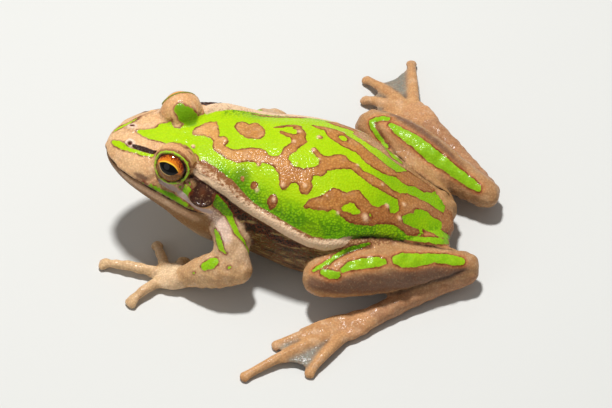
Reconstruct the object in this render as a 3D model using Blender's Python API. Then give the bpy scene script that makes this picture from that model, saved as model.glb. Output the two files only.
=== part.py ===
"""A green and golden bell frog at rest on a flat floor, life size, as a still model.

The snout points along -X, the left side faces -Y and the floor is the plane z = 0. The origin
is on the floor under the middle of the frog's outline. Places and sizes are in millimetres, and
turn to metres where a mesh is made. The places are measured from the middle of the trunk.
"""
import math

import bmesh
import bpy
from mathutils import Matrix, Vector

MM = 0.001

# Driving dimensions
GAP = 0.3                    # room left between neighbours
FLOOR = 0.0
HALF_SPACE = 100.0           # reach of the blocks that cut whole regions away
MERGE_DISTANCE = 0.002       # points closer than this are one
SHARP_ANGLE = 45.0           # edges that turn more than this are shaded as edges

# The trunk: place along the body, half width, height of the back, height of the widest line, belly
TRUNK_STATIONS = (
    (-38.4, 0.6, 21.6, 21.0, 20.4),
    (-37.6, 3.3, 23.2, 20.9, 18.6),
    (-35.4, 6.1, 24.6, 20.9, 17.4),
    (-32.6, 8.4, 25.5, 20.9, 16.0),
    (-29.0, 10.3, 26.2, 20.9, 14.2),
    (-24.0, 12.2, 27.0, 20.4, 11.4),
    (-19.0, 13.8, 27.6, 19.4, 7.0),
    (-14.0, 14.5, 28.0, 18.4, 3.4),
    (-9.0, 14.3, 28.2, 17.0, 2.4),
    (-4.0, 15.0, 28.6, 15.5, 2.0),
    (2.0, 16.7, 28.7, 14.2, 1.2),
    (8.0, 17.7, 28.0, 13.2, 0.2),
    (14.0, 17.5, 26.5, 12.2, -0.4),
    (20.0, 16.0, 23.8, 11.0, -0.4),
    (26.0, 13.4, 19.8, 9.8, 0.6),
    (32.0, 10.2, 15.2, 8.8, 2.2),
    (36.0, 7.2, 12.0, 8.0, 3.6),
    (38.8, 3.0, 9.4, 7.6, 6.0),
    (39.3, 0.8, 8.2, 7.6, 7.0),
)
TRUNK_SIDES = 30
TIP_REACH = 0.3              # how far the snout and the vent reach past their last stations
HEAD_SQUARENESS = 2.5        # of the upper half, where 2 is an ellipse and more is squarer
BACK_SQUARENESS = 2.0
BELLY_SQUARENESS = 2.9

# The head is modelled straight, then turned to its left and raised about a point in the neck
HEAD_TURN = 6.0
HEAD_RAISE = 6.0
NECK_PIVOT = (-8.0, 0.0, 20.0)
NECK_BEND = (-3.0, -13.0)    # places where the turn begins and where it is whole
NECK = -10.8                 # place of the cut behind the ear drums
EYE_CENTRE = (-23.3, -8.2, 26.8)
EYE_RADIUS = 3.9
EYE_AXIS = (-0.20, -0.88, 0.43)
BROW_RADIUS = 4.75
BROW_SINK = 0.6              # the brow's centre lies this far inward of the eye's
LID_OPENING = (3.2, 2.75)    # half length and half height
LID_REACH = (1.5, 7.5)       # where the opening's cut begins and ends, from the eye's centre
LID_FLARE = 1.35             # how much wider the cut is at its outer end
NOSTRIL = (-33.4, 2.2)       # along the body and from the midline
NOSTRIL_MOUND = 1.3
MOUND_SINK = 0.75            # depth of the mound's centre under the skin
NOSTRIL_PIT = 0.5
PIT_STRETCH = 1.5            # how much longer than tall the pit is
PIT_PLACE = (0.25, 0.35)     # outward and above the nostril's place
EAR_DRUM = (-16.4, 23.9)     # along the body and height
EAR_DRUM_RADIUS = 2.6
EAR_DRUM_DEPTH = 1.1
EAR_DRUM_TAPER = 0.9
EAR_RIM = 0.6
EAR_RIM_RISE = 0.35
EAR_RIM_DEPTH = 1.6
EAR_RIM_TAPER = 0.93
EAR_RECESS_REACH = 2.0       # how far the recess for the drum is cut outward
SLOPE_REACH = 1.5            # distance over which the slope of the skin is measured
MOUTH_LINE = ((-45.0, 20.6), (-38.0, 20.9), (-35.0, 21.4), (-31.0, 21.6), (-27.5, 21.4),
              (-22.8, 20.4), (-18.6, 19.2), (-13.6, 18.6))
LIP_RADIUS = 0.65
LIP_RISE = 0.75              # the lip's middle above the line of the mouth
LIP_SINK = 0.2

# The fold of skin from the eye over the ear drum and along the flank, as places along and heights
SIDE_FOLD = ((-18.7, 26.7), (-16.3, 26.3), (-14.0, 25.8), (-11.5, 24.9), (-8.5, 23.4), (-3.9, 21.5),
             (0.7, 20.3), (5.4, 18.7), (9.9, 17.1), (13.2, 16.5), (16.4, 16.9), (19.0, 18.4))
FOLD_RADIUS = 0.95
FOLD_END = 0.6               # share of that radius at the fold's two ends
FOLD_SINK = 0.3

# The arms. A place is along, across and up, with a half width and a half height
ARMS = {
    "left": {
        "upper_arm": ((-9.4, -12.2, 16.0, 4.0, 4.0), (-7.6, -17.0, 12.6, 3.8, 3.8),
                      (-5.6, -20.8, 9.2, 3.3, 3.3)),
        "forearm": ((-5.5, -21.0, 9.0, 3.4, 3.4), (-10.2, -20.8, 8.0, 4.2, 4.2),
                    (-17.0, -20.4, 3.8, 2.7, 2.6)),
        "hand": ((-17.2, -20.5, 3.4, 2.6, 2.3), (-20.4, -19.9, 2.2, 3.7, 2.1),
                 (-23.0, -19.2, 1.35, 3.4, 1.5)),
        "finger_1": ((-20.0, -17.4), (-18.4, -12.4)),
        "finger_2": ((-22.8, -17.2), (-26.6, -9.2)),
        "finger_3": ((-24.0, -19.0), (-38.5, -17.9)),
        "finger_4": ((-23.0, -21.2), (-29.6, -29.2)),
    },
    "right": {
        "upper_arm": ((-9.4, 12.2, 16.0, 4.0, 4.0), (-7.4, 17.6, 12.6, 3.8, 3.8),
                      (-5.2, 22.5, 9.2, 3.3, 3.3)),
        "forearm": ((-5.0, 22.7, 9.0, 3.4, 3.4), (-9.8, 20.8, 8.0, 4.2, 4.2),
                    (-16.8, 17.2, 3.8, 2.7, 2.6)),
        "hand": ((-17.0, 17.0, 3.4, 2.5, 2.3), (-20.0, 15.3, 2.2, 3.4, 2.1),
                 (-22.6, 14.0, 1.35, 3.2, 1.5)),
        "finger_1": ((-19.0, 13.4), (-17.4, 8.2)),
        "finger_2": ((-22.4, 12.4), (-27.6, 5.2)),
        "finger_3": ((-23.6, 13.6), (-37.0, 12.4)),
        "finger_4": ((-22.8, 15.6), (-30.6, 23.4)),
    },
}
FINGER_HEIGHT = (1.7, 0.75)  # at the knuckle and at the tip
FINGER_RADIUS = (1.35, 1.05)
FINGER_DISC = (1.65, 1.0)    # half width and half height of the pad at the tip

# The legs, folded with the shank over the foot
LEGS = {
    "left": {
        "thigh": ((34.5, -5.5, 7.4, 4.8, 4.8), (29.0, -10.0, 8.0, 5.4, 5.4),
                  (22.0, -15.4, 8.8, 5.2, 5.2), (15.0, -19.8, 9.3, 4.3, 4.3)),
        "shank": ((13.2, -20.4, 9.6, 4.4, 4.5), (20.0, -17.6, 9.6, 5.3, 5.6),
                  (28.0, -14.4, 8.9, 5.1, 5.4), (37.0, -11.0, 7.4, 3.9, 4.1),
                  (43.3, -8.8, 6.3, 3.2, 3.3)),
        "tarsus": ((44.0, -9.6, 4.8, 2.8, 2.7), (38.5, -13.0, 3.6, 2.3, 2.4),
                   (31.0, -18.5, 2.6, 2.2, 2.3), (25.4, -23.0, 2.1, 2.5, 2.2)),
        "foot": ((25.2, -23.2, 2.1, 2.5, 2.1), (22.4, -25.2, 1.7, 3.4, 1.8),
                 (19.4, -27.2, 1.4, 3.8, 1.5)),
        "toe_1": ((20.6, -24.6), (14.0, -26.3)),
        "toe_2": ((18.6, -25.4), (9.2, -30.4)),
        "toe_3": ((17.8, -27.2), (4.0, -34.8)),
        "toe_4": ((17.6, -28.8), (-1.1, -44.8)),
        "toe_5": ((19.4, -30.0), (13.2, -41.9)),
    },
    "right": {
        "thigh": ((34.5, 5.5, 7.2, 4.8, 4.8), (29.0, 11.0, 7.4, 5.2, 5.2),
                  (23.6, 17.4, 8.0, 4.9, 4.9), (18.6, 22.8, 8.8, 4.2, 4.2)),
        "shank": ((17.4, 24.4, 9.6, 4.4, 4.5), (23.4, 21.8, 9.6, 5.3, 5.6),
                  (30.4, 18.8, 8.8, 5.1, 5.4), (38.8, 15.2, 7.0, 3.9, 4.1),
                  (44.9, 12.6, 6.0, 3.2, 3.3)),
        "tarsus": ((45.2, 14.0, 4.8, 2.8, 2.7), (41.0, 19.2, 4.6, 2.4, 2.4),
                   (35.0, 25.6, 4.8, 2.3, 2.3), (29.4, 30.8, 5.2, 2.5, 2.2)),
        "foot": ((29.2, 31.4, 5.2, 2.6, 2.2), (26.8, 33.2, 5.0, 3.6, 1.8),
                 (24.2, 35.2, 4.4, 3.9, 1.5)),
        "toe_1": ((24.6, 32.0), (17.0, 31.0)),
        "toe_2": ((22.8, 33.2), (13.0, 34.6)),
        "toe_3": ((22.2, 35.0), (11.4, 40.4)),
        "toe_4": ((22.4, 37.0), (10.9, 47.0)),
        "toe_5": ((24.4, 38.2), (21.2, 54.2)),
    },
}
TOE_BASE_HEIGHT = {"left": 1.6, "right": 4.2}
TOE_TIP_HEIGHT = 0.7
TOE_RADIUS = (1.4, 1.0)
TOE_DISC = (1.45, 0.95)
DIGIT_ARCH = 0.9             # how far a digit's middle bows up from the straight
PAD_LENGTH = 2.3             # length of the pad, in half widths of the pad
SHAFT_SHARES = (0.0, 0.35, 0.7, 1.0)
SHAFT_WIDTHS = (1.0, 0.83, 0.5, 0.0)    # from the knuckle's width, 1, to that before the pad, 0

# The web from each toe to the one before it, to which share of the two toes it reaches
WEB_THICKNESS = 0.6
WEB_START = 0.10             # share of the toe's length where the web begins
WEB_REACH = {2: (0.86, 0.74), 3: (0.86, 0.70), 4: (0.84, 0.62), 5: (0.66, 0.84)}
WEB_SCALLOP = 0.20           # how deep its free edge is hollowed, as a share of its length
WEB_ROWS = 4
WEB_COLUMNS = 4

LIMB_SIDES = 14
DIGIT_SIDES = 8
RIDGE_SIDES = 8
BALL_SIDES = 20
SMALL_SIDES = 12
STEPS_PER_STATION = 2
CAP_ANGLES = (66.0, 36.0)    # of the rings that round off a tube's end, from its pole

# Colours of the finishes, as seen, with their roughness
FINISHES = {
    "green_skin": ((0.42, 0.56, 0.10), 0.35),
    "copper_skin": ((0.52, 0.30, 0.16), 0.38),
    "throat_skin": ((0.60, 0.50, 0.38), 0.45),
    "web_skin": ((0.36, 0.38, 0.38), 0.40),
    "ear_drum_skin": ((0.16, 0.08, 0.04), 0.40),
    "eye": ((0.45, 0.20, 0.05), 0.08),
}


def smooth_stations(stations, steps):
    """Return more stations on a smooth curve through the given ones."""
    smooth = []
    last = len(stations) - 1
    for index in range(last):
        before = stations[max(index - 1, 0)]
        here = stations[index]
        there = stations[index + 1]
        after = stations[min(index + 2, last)]
        for step in range(steps):
            t = step / steps
            smooth.append(tuple(
                0.5 * (2 * b + (c - a) * t + (2 * a - 5 * b + 4 * c - d) * t * t
                       + (3 * b - a - 3 * c + d) * t * t * t)
                for a, b, c, d in zip(before, here, there, after)))
    smooth.append(tuple(stations[last]))
    return smooth


def mesh_object(name, mesh_data):
    """Turn a bmesh, in millimetres, into an object in metres."""
    bmesh.ops.recalc_face_normals(mesh_data, faces=mesh_data.faces)
    bmesh.ops.scale(mesh_data, vec=(MM, MM, MM), verts=mesh_data.verts)
    mesh = bpy.data.meshes.new(name)
    mesh_data.to_mesh(mesh)
    mesh_data.free()
    obj = bpy.data.objects.new(name, mesh)
    bpy.context.scene.collection.objects.link(obj)
    return obj


def skin_rings(name, rings, first_pole, last_pole):
    """Make a closed surface over rings of points, closed by a pole at each end."""
    shape = bmesh.new()
    loops = [[shape.verts.new(point) for point in ring] for ring in rings]
    count = len(loops[0])
    for near, far in zip(loops, loops[1:]):
        for index in range(count):
            following = (index + 1) % count
            shape.faces.new((near[index], near[following], far[following], far[index]))
    for pole, loop in ((first_pole, loops[0]), (last_pole, loops[-1])):
        tip = shape.verts.new(pole)
        for index in range(count):
            shape.faces.new((loop[index], loop[(index + 1) % count], tip))
    return mesh_object(name, shape)


def trunk_section(along):
    """Return half width, back, widest line and belly of the trunk at a place along it."""
    for near, far in zip(TRUNK_FINE, TRUNK_FINE[1:]):
        if near[0] <= along <= far[0]:
            share = (along - near[0]) / (far[0] - near[0])
            return tuple(a + (b - a) * share for a, b in zip(near[1:], far[1:]))
    raise ValueError("outside the trunk")


def upper_squareness(along):
    """Return how square the upper half is, which changes over the neck."""
    return HEAD_SQUARENESS + (BACK_SQUARENESS - HEAD_SQUARENESS) * (1.0 - neck_share(along))


def neck_share(along):
    """Return 0 on the torso and 1 on the head, with a smooth change over the neck."""
    share = (NECK_BEND[0] - along) / (NECK_BEND[0] - NECK_BEND[1])
    share = min(max(share, 0.0), 1.0)
    return share * share * (3 - 2 * share)


def trunk_side(along, height):
    """Return how far the trunk's surface lies from the midline at a place and a height."""
    half_width, back, widest, belly = trunk_section(along)
    if height >= widest:
        power = upper_squareness(along)
        share = (height - widest) / (back - widest)
    else:
        power = BELLY_SQUARENESS
        share = (widest - height) / (widest - belly)
    return half_width * max(1 - min(share, 1.0) ** power, 0.0) ** (1 / power)


def trunk_top(along, across):
    """Return the height of the trunk's upper surface at a place and a distance from the midline."""
    half_width, back, widest, _ = trunk_section(along)
    share = min(abs(across) / half_width, 1.0)
    power = upper_squareness(along)
    return widest + (back - widest) * (1 - share ** power) ** (1 / power)


def head_rotation(share=1.0):
    """Return the head's turn and raise, or a share of them."""
    turn = Matrix.Rotation(math.radians(HEAD_TURN * share), 3, "Z")
    return turn @ Matrix.Rotation(math.radians(HEAD_RAISE * share), 3, "Y")


def turn_head(place):
    """Move a place of the straight body to where the turned and raised head takes it."""
    pivot = Vector(NECK_PIVOT)
    return pivot + head_rotation(neck_share(place[0])) @ (Vector(place) - pivot)


def trunk(name, grow=0.0):
    """Make the head and torso in one piece, larger all round by the given amount."""
    rings = []
    for along, half_width, back, widest, belly in TRUNK_FINE:
        ring = []
        for index in range(TRUNK_SIDES):
            angle = math.tau * index / TRUNK_SIDES
            power = upper_squareness(along) if math.sin(angle) >= 0 else BELLY_SQUARENESS
            tall = back - widest if math.sin(angle) >= 0 else widest - belly
            across = abs(math.cos(angle)) ** (2 / power) * math.copysign(1, math.cos(angle))
            up = abs(math.sin(angle)) ** (2 / power) * math.copysign(1, math.sin(angle))
            ring.append(turn_head((along, (half_width + grow) * across, widest + (tall + grow) * up)))
        rings.append(ring)
    first, last = TRUNK_FINE[0], TRUNK_FINE[-1]
    snout = turn_head((first[0] - TIP_REACH - grow, 0, first[3]))
    return skin_rings(name, rings, snout, (last[0] + TIP_REACH + grow, 0, last[3]))


def tube(name, stations, sides, grow=0.0, steps=STEPS_PER_STATION):
    """Make a round-ended tube through stations of place, half width and half height."""
    fine = smooth_stations(stations, steps)
    places = [Vector(station[:3]) for station in fine]
    rings = []

    def ring(centre, direction, wide, tall):
        side = direction.cross(Vector((0, 0, 1))).normalized()
        up = side.cross(direction).normalized()
        return [centre + side * wide * math.cos(math.tau * index / sides)
                + up * tall * math.sin(math.tau * index / sides) for index in range(sides)]

    def direction_at(index):
        return (places[min(index + 1, len(places) - 1)] - places[max(index - 1, 0)]).normalized()

    def cap(station, centre, outward, forward):
        reach = min(station[3], station[4]) + grow
        caps = []
        for angle in (math.radians(degrees) for degrees in CAP_ANGLES):
            narrow = math.cos(angle)
            caps.append(ring(centre + outward * reach * math.sin(angle), forward,
                             (station[3] + grow) * narrow, (station[4] + grow) * narrow))
        return caps, centre + outward * reach

    start, end = direction_at(0), direction_at(len(places) - 1)
    first_rings, first_pole = cap(fine[0], places[0], -start, start)
    last_rings, last_pole = cap(fine[-1], places[-1], end, end)
    rings.extend(first_rings)
    for index, station in enumerate(fine):
        rings.append(ring(places[index], direction_at(index), station[3] + grow, station[4] + grow))
    rings.extend(reversed(last_rings))
    return skin_rings(name, rings, first_pole, last_pole)


def combine(target, others, operation):
    """Join the others to the target, cut them from it or keep what they share, and remove them."""
    group = bpy.data.collections.new("operands")
    bpy.context.scene.collection.children.link(group)
    for other in others:
        group.objects.link(other)
    modifier = target.modifiers.new("combine", "BOOLEAN")
    modifier.operand_type = "COLLECTION"
    modifier.collection = group
    modifier.operation = operation
    modifier.solver = "EXACT"
    graph = bpy.context.evaluated_depsgraph_get()
    graph.update()
    mesh = bpy.data.meshes.new_from_object(target.evaluated_get(graph))
    old = target.data
    target.modifiers.clear()
    target.data = mesh
    bpy.data.meshes.remove(old)
    for other in others:
        bpy.data.objects.remove(other)
    bpy.data.collections.remove(group)
    keep_largest(target)
    return target


def keep_largest(obj):
    """Keep only the largest closed surface of a mesh."""
    shape = bmesh.new()
    shape.from_mesh(obj.data)
    bmesh.ops.remove_doubles(shape, verts=shape.verts, dist=MERGE_DISTANCE * MM)
    unseen = set(shape.verts)
    pieces = []
    while unseen:
        front = [unseen.pop()]
        piece = set(front)
        while front:
            vertex = front.pop()
            for edge in vertex.link_edges:
                other = edge.other_vert(vertex)
                if other in unseen:
                    unseen.remove(other)
                    piece.add(other)
                    front.append(other)
        pieces.append(piece)
    pieces.sort(key=len, reverse=True)
    loose = [vertex for piece in pieces[1:] for vertex in piece]
    bmesh.ops.delete(shape, geom=loose, context="VERTS")
    shape.to_mesh(obj.data)
    shape.free()


def turn_with_head(shape):
    """Turn a whole bmesh about the neck as the head is turned."""
    pivot = Matrix.Translation(NECK_PIVOT)
    matrix = pivot @ head_rotation().to_4x4() @ pivot.inverted()
    bmesh.ops.transform(shape, matrix=matrix, verts=shape.verts)


def block(low, high, with_head=False):
    """Make a box between two corners, which may turn with the head."""
    shape = bmesh.new()
    bmesh.ops.create_cube(shape, size=1.0)
    size = Vector(high) - Vector(low)
    middle = (Vector(high) + Vector(low)) / 2
    bmesh.ops.scale(shape, vec=size, verts=shape.verts)
    bmesh.ops.translate(shape, vec=middle, verts=shape.verts)
    if with_head:
        turn_with_head(shape)
    return mesh_object("block", shape)


def rest_on_floor(obj):
    """Cut away what would reach below the floor, which leaves a small flat where it rests."""
    low = (-HALF_SPACE, -HALF_SPACE, FLOOR - HALF_SPACE)
    return combine(obj, [block(low, (HALF_SPACE, HALF_SPACE, FLOOR))], "DIFFERENCE")


def ball(name, centre, radius, segments=BALL_SIDES, stretch=1.0):
    """Make a sphere, or one that is longer along the body."""
    shape = bmesh.new()
    bmesh.ops.create_uvsphere(shape, u_segments=segments, v_segments=segments * 3 // 5, radius=radius)
    bmesh.ops.scale(shape, vec=(stretch, 1, 1), verts=shape.verts)
    bmesh.ops.translate(shape, vec=centre, verts=shape.verts)
    return mesh_object(name, shape)


def plug(name, centre, axis, radii, near, far, taper=1.0):
    """Make an oval plug along an axis, from near to far of its centre."""
    shape = bmesh.new()
    bmesh.ops.create_cone(shape, cap_ends=True, segments=BALL_SIDES, radius1=1.0, radius2=taper,
                          depth=far - near)
    bmesh.ops.scale(shape, vec=(radii[0], radii[1], 1), verts=shape.verts)
    bmesh.ops.translate(shape, vec=(0, 0, (near + far) / 2), verts=shape.verts)
    forward = Vector(axis).normalized()
    level = Vector((0, 0, 1)).cross(forward).normalized()
    turn = Matrix((level, forward.cross(level), forward)).transposed().to_4x4()
    bmesh.ops.transform(shape, matrix=Matrix.Translation(centre) @ turn, verts=shape.verts)
    return mesh_object(name, shape)


def mouth_region(shift):
    """Make the block of space under the line of the mouth, from the snout back to its corner."""
    corner = MOUTH_LINE[-1][0] + shift
    outline = [(along, height + shift) for along, height in MOUTH_LINE[:-1]]
    outline += [(corner, MOUTH_LINE[-1][1] + shift), (corner, FLOOR), (MOUTH_LINE[0][0], FLOOR)]
    shape = bmesh.new()
    verts = [shape.verts.new((along, -HALF_SPACE, height)) for along, height in outline]
    face = shape.faces.new(verts)
    swept = bmesh.ops.extrude_face_region(shape, geom=[face])["geom"]
    moved = [item for item in swept if isinstance(item, bmesh.types.BMVert)]
    bmesh.ops.translate(shape, vec=(0, 2 * HALF_SPACE, 0), verts=moved)
    turn_with_head(shape)
    return mesh_object("mouth", shape)


def side_fold(side, grow=0.0):
    """Make the ridge of skin that runs from the eye over the ear drum to the groin."""
    stations = []
    for index, (along, height) in enumerate(SIDE_FOLD):
        radius = FOLD_RADIUS * (FOLD_END if index in (0, len(SIDE_FOLD) - 1) else 1.0)
        place = turn_head((along, side * (trunk_side(along, height) - FOLD_SINK), height))
        stations.append((*place, radius, radius))
    return tube("fold", stations, RIDGE_SIDES, grow, steps=1)


def lip(side):
    """Make one side of the upper lip, a slim ridge above the line of the mouth."""
    stations = []
    for along, height in MOUTH_LINE[2:]:
        middle = height + LIP_RISE
        place = turn_head((along, side * (trunk_side(along, middle) - LIP_SINK), middle))
        stations.append((*place, LIP_RADIUS, LIP_RADIUS))
    return tube("lip", stations, RIDGE_SIDES, steps=1)


def ear_place(side):
    """Return the centre and the outward direction of an ear drum."""
    along, height = EAR_DRUM
    forward = along - SLOPE_REACH
    upward = height + SLOPE_REACH
    surface = Vector((along, trunk_side(along, height), height))
    ahead = Vector((forward, trunk_side(forward, height), height))
    above = Vector((along, trunk_side(along, upward), upward))
    outward = (above - surface).cross(ahead - surface).normalized()
    if outward.y < 0:
        outward.negate()
    return (turn_head((surface.x, side * surface.y, surface.z)),
            head_rotation() @ Vector((outward.x, side * outward.y, outward.z)))


def eye_place(side):
    """Return the centre and the outward direction of an eye, the left one where side is -1."""
    centre = turn_head((EYE_CENTRE[0], -side * EYE_CENTRE[1], EYE_CENTRE[2]))
    axis = head_rotation() @ Vector((EYE_AXIS[0], -side * EYE_AXIS[1], EYE_AXIS[2]))
    return centre, axis.normalized()


def nostril_place(side, outward, rise):
    """Return a place by a nostril, so far outward and above it."""
    along, across = NOSTRIL
    return turn_head((along, side * (across + outward), trunk_top(along, across) + rise))


def duplicate(obj, name):
    """Return a copy of an object with a mesh of its own."""
    twin = bpy.data.objects.new(name, obj.data.copy())
    bpy.context.scene.collection.objects.link(twin)
    return twin


def make_body():
    """Make the head, lower jaw, torso, eyes and ear drums, and return them by name."""
    body = trunk("head")
    additions = []
    for side in (-1, 1):
        centre, axis = eye_place(side)
        additions.append(ball("brow", centre - axis * BROW_SINK, BROW_RADIUS))
        additions.append(side_fold(side))
        additions.append(lip(side))
        additions.append(ball("mound", nostril_place(side, 0.0, -MOUND_SINK), NOSTRIL_MOUND, SMALL_SIDES))
        ear, outward = ear_place(side)
        radius = EAR_DRUM_RADIUS + EAR_RIM
        additions.append(plug("rim", ear, outward, (radius, radius), -EAR_RIM_DEPTH, EAR_RIM_RISE,
                              EAR_RIM_TAPER))
    combine(body, additions, "UNION")
    rest_on_floor(body)

    torso = duplicate(body, "torso")
    low = (-HALF_SPACE, -HALF_SPACE, -HALF_SPACE)
    high = (HALF_SPACE, HALF_SPACE, HALF_SPACE)
    combine(torso, [block(low, (NECK + GAP / 2, HALF_SPACE, HALF_SPACE), True)], "DIFFERENCE")

    head = body
    cutters = [block((NECK - GAP / 2, -HALF_SPACE, -HALF_SPACE), high, True)]
    nodes = {"torso": torso}
    for side, word in ((-1, "left"), (1, "right")):
        centre, axis = eye_place(side)
        cutters.append(ball("socket", centre, EYE_RADIUS + GAP))
        cutters.append(plug("opening", centre, axis, LID_OPENING, *LID_REACH, LID_FLARE))
        nodes["eye_" + word] = ball("eye_" + word, centre, EYE_RADIUS)
        cutters.append(ball("pit", nostril_place(side, *PIT_PLACE), NOSTRIL_PIT, SMALL_SIDES, PIT_STRETCH))
        ear, outward = ear_place(side)
        recess = EAR_DRUM_RADIUS + GAP
        cutters.append(plug("recess", ear, outward, (recess, recess), -EAR_DRUM_DEPTH - GAP,
                            EAR_RECESS_REACH))
        drum = (EAR_DRUM_RADIUS, EAR_DRUM_RADIUS)
        nodes["ear_drum_" + word] = plug("ear_drum_" + word, ear, outward, drum, -EAR_DRUM_DEPTH, 0.0,
                                         EAR_DRUM_TAPER)
    combine(head, cutters, "DIFFERENCE")

    jaw = duplicate(head, "lower_jaw")
    combine(head, [mouth_region(GAP / 2)], "DIFFERENCE")
    combine(jaw, [mouth_region(-GAP / 2)], "INTERSECT")
    nodes["head"] = head
    nodes["lower_jaw"] = jaw
    return nodes


def trunk_cutters():
    """Return the trunk and its folds, larger by the gap."""
    return [trunk("trunk", GAP), side_fold(-1, GAP), side_fold(1, GAP)]


def digit_stations(base, tip, base_height, tip_height, radii, disc):
    """Return the stations of a finger or toe that bows up a little and ends in a flat pad."""
    start = Vector((base[0], base[1], base_height))
    end = Vector((tip[0], tip[1], tip_height))
    heading = (end - start).normalized()
    length = (end - start).length
    shaft = length - PAD_LENGTH * disc[0]
    stations = []
    for share, width in zip(SHAFT_SHARES, SHAFT_WIDTHS):
        radius = radii[1] + (radii[0] - radii[1]) * width
        place = start + heading * shaft * share
        place.z += DIGIT_ARCH * math.sin(math.pi * share * shaft / length)
        stations.append((*place, radius, radius))
    pad = end - heading * disc[0]
    stations.append((*pad, disc[0], disc[1]))
    return stations


def make_arm(side):
    """Make the nodes of one arm."""
    sizes = ARMS[side]
    nodes = {}
    nodes["forearm_" + side] = tube("forearm_" + side, sizes["forearm"], LIMB_SIDES)
    upper = tube("upper_arm_" + side, sizes["upper_arm"], LIMB_SIDES)
    combine(upper, trunk_cutters() + [tube("elbow", sizes["forearm"], LIMB_SIDES, GAP)], "DIFFERENCE")
    nodes["upper_arm_" + side] = upper
    hand = rest_on_floor(tube("hand_" + side, sizes["hand"], LIMB_SIDES))
    combine(hand, [tube("wrist", sizes["forearm"], LIMB_SIDES, GAP)], "DIFFERENCE")
    nodes["hand_" + side] = hand
    before = None
    for number in range(1, 5):
        name = "finger_%d" % number
        stations = digit_stations(*sizes[name], *FINGER_HEIGHT, FINGER_RADIUS, FINGER_DISC)
        finger = rest_on_floor(tube(name + "_" + side, stations, DIGIT_SIDES, steps=1))
        cutters = [tube("palm", sizes["hand"], LIMB_SIDES, GAP)]
        if before:
            cutters.append(tube("neighbour", before, DIGIT_SIDES, GAP, steps=1))
        combine(finger, cutters, "DIFFERENCE")
        nodes[finger.name] = finger
        before = stations
    return nodes


def make_web(first, second, reach):
    """Make a thin sheet between two toes, hollowed along its free edge."""
    shape = bmesh.new()
    layers = []
    for lift in (-WEB_THICKNESS / 2, WEB_THICKNESS / 2):
        grid = []
        for row in range(WEB_ROWS + 1):
            line = []
            for column in range(WEB_COLUMNS + 1):
                across = column / WEB_COLUMNS
                edge = reach[0] + (reach[1] - reach[0]) * across
                edge *= 1 - WEB_SCALLOP * math.sin(math.pi * across)
                along = WEB_START + (edge - WEB_START) * row / WEB_ROWS
                place = toe_place(first, along).lerp(toe_place(second, along), across)
                line.append(shape.verts.new((place.x, place.y, place.z + lift)))
            grid.append(line)
        layers.append(grid)
    for grid in layers:
        for near, far in zip(grid, grid[1:]):
            for index in range(WEB_COLUMNS):
                shape.faces.new((near[index], near[index + 1], far[index + 1]))
                shape.faces.new((near[index], far[index + 1], far[index]))
    low, high = layers
    border = [(0, column) for column in range(WEB_COLUMNS)]
    border += [(row, WEB_COLUMNS) for row in range(WEB_ROWS)]
    border += [(WEB_ROWS, column) for column in range(WEB_COLUMNS, 0, -1)]
    border += [(row, 0) for row in range(WEB_ROWS, 0, -1)]
    for here, there in zip(border, border[1:] + border[:1]):
        shape.faces.new((low[here[0]][here[1]], low[there[0]][there[1]],
                         high[there[0]][there[1]], high[here[0]][here[1]]))
    return mesh_object("web", shape)


def toe_place(stations, share):
    """Return the place at a share of a toe's length."""
    position = share * (len(stations) - 1)
    index = min(int(position), len(stations) - 2)
    return Vector(stations[index][:3]).lerp(Vector(stations[index + 1][:3]), position - index)


def make_leg(side):
    """Make the nodes of one leg."""
    sizes = LEGS[side]
    nodes = {}
    shank = tube("shank_" + side, sizes["shank"], LIMB_SIDES)
    combine(shank, trunk_cutters(), "DIFFERENCE")
    nodes["shank_" + side] = shank
    thigh = tube("thigh_" + side, sizes["thigh"], LIMB_SIDES)
    combine(thigh, trunk_cutters() + [tube("knee", sizes["shank"], LIMB_SIDES, GAP)], "DIFFERENCE")
    nodes["thigh_" + side] = thigh
    tarsus = rest_on_floor(tube("tarsus_" + side, sizes["tarsus"], LIMB_SIDES))
    combine(tarsus, [tube("ankle", sizes["shank"], LIMB_SIDES, GAP)], "DIFFERENCE")
    nodes["tarsus_" + side] = tarsus
    foot = rest_on_floor(tube("foot_" + side, sizes["foot"], LIMB_SIDES))
    combine(foot, [tube("heel", sizes["tarsus"], LIMB_SIDES, GAP)], "DIFFERENCE")
    nodes["foot_" + side] = foot
    toes = {}
    for number in range(1, 6):
        name = "toe_%d" % number
        toes[number] = digit_stations(*sizes[name], TOE_BASE_HEIGHT[side], TOE_TIP_HEIGHT,
                                      TOE_RADIUS, TOE_DISC)
        toe = rest_on_floor(tube(name + "_" + side, toes[number], DIGIT_SIDES, steps=1))
        cutters = [tube("sole", sizes["foot"], LIMB_SIDES, GAP)]
        if number in WEB_REACH:
            web = make_web(toes[number - 1], toes[number], WEB_REACH[number])
            combine(toe, [web], "UNION")
            cutters.append(tube("neighbour", toes[number - 1], DIGIT_SIDES, GAP, steps=1))
        combine(toe, cutters, "DIFFERENCE")
        nodes[toe.name] = toe
    return nodes


def make_finish(name, node):
    """Make one node's material from a named finish."""
    colour, roughness = FINISHES[name]
    material = bpy.data.materials.new(node + "_" + name)
    material.use_nodes = True
    shader = material.node_tree.nodes["Principled BSDF"]
    shader.inputs["Base Color"].default_value = (*colour, 1.0)
    shader.inputs["Roughness"].default_value = roughness
    shader.inputs["Metallic"].default_value = 0.0
    return material


def finish_of(node):
    """Return the name of the finish that a node shows."""
    if node.startswith("eye"):
        return "eye"
    if node.startswith("ear_drum"):
        return "ear_drum_skin"
    if node.startswith(("foot", "toe")):
        return "web_skin"
    if node == "lower_jaw":
        return "throat_skin"
    if node in ("head", "torso"):
        return "green_skin"
    return "copper_skin"


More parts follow.
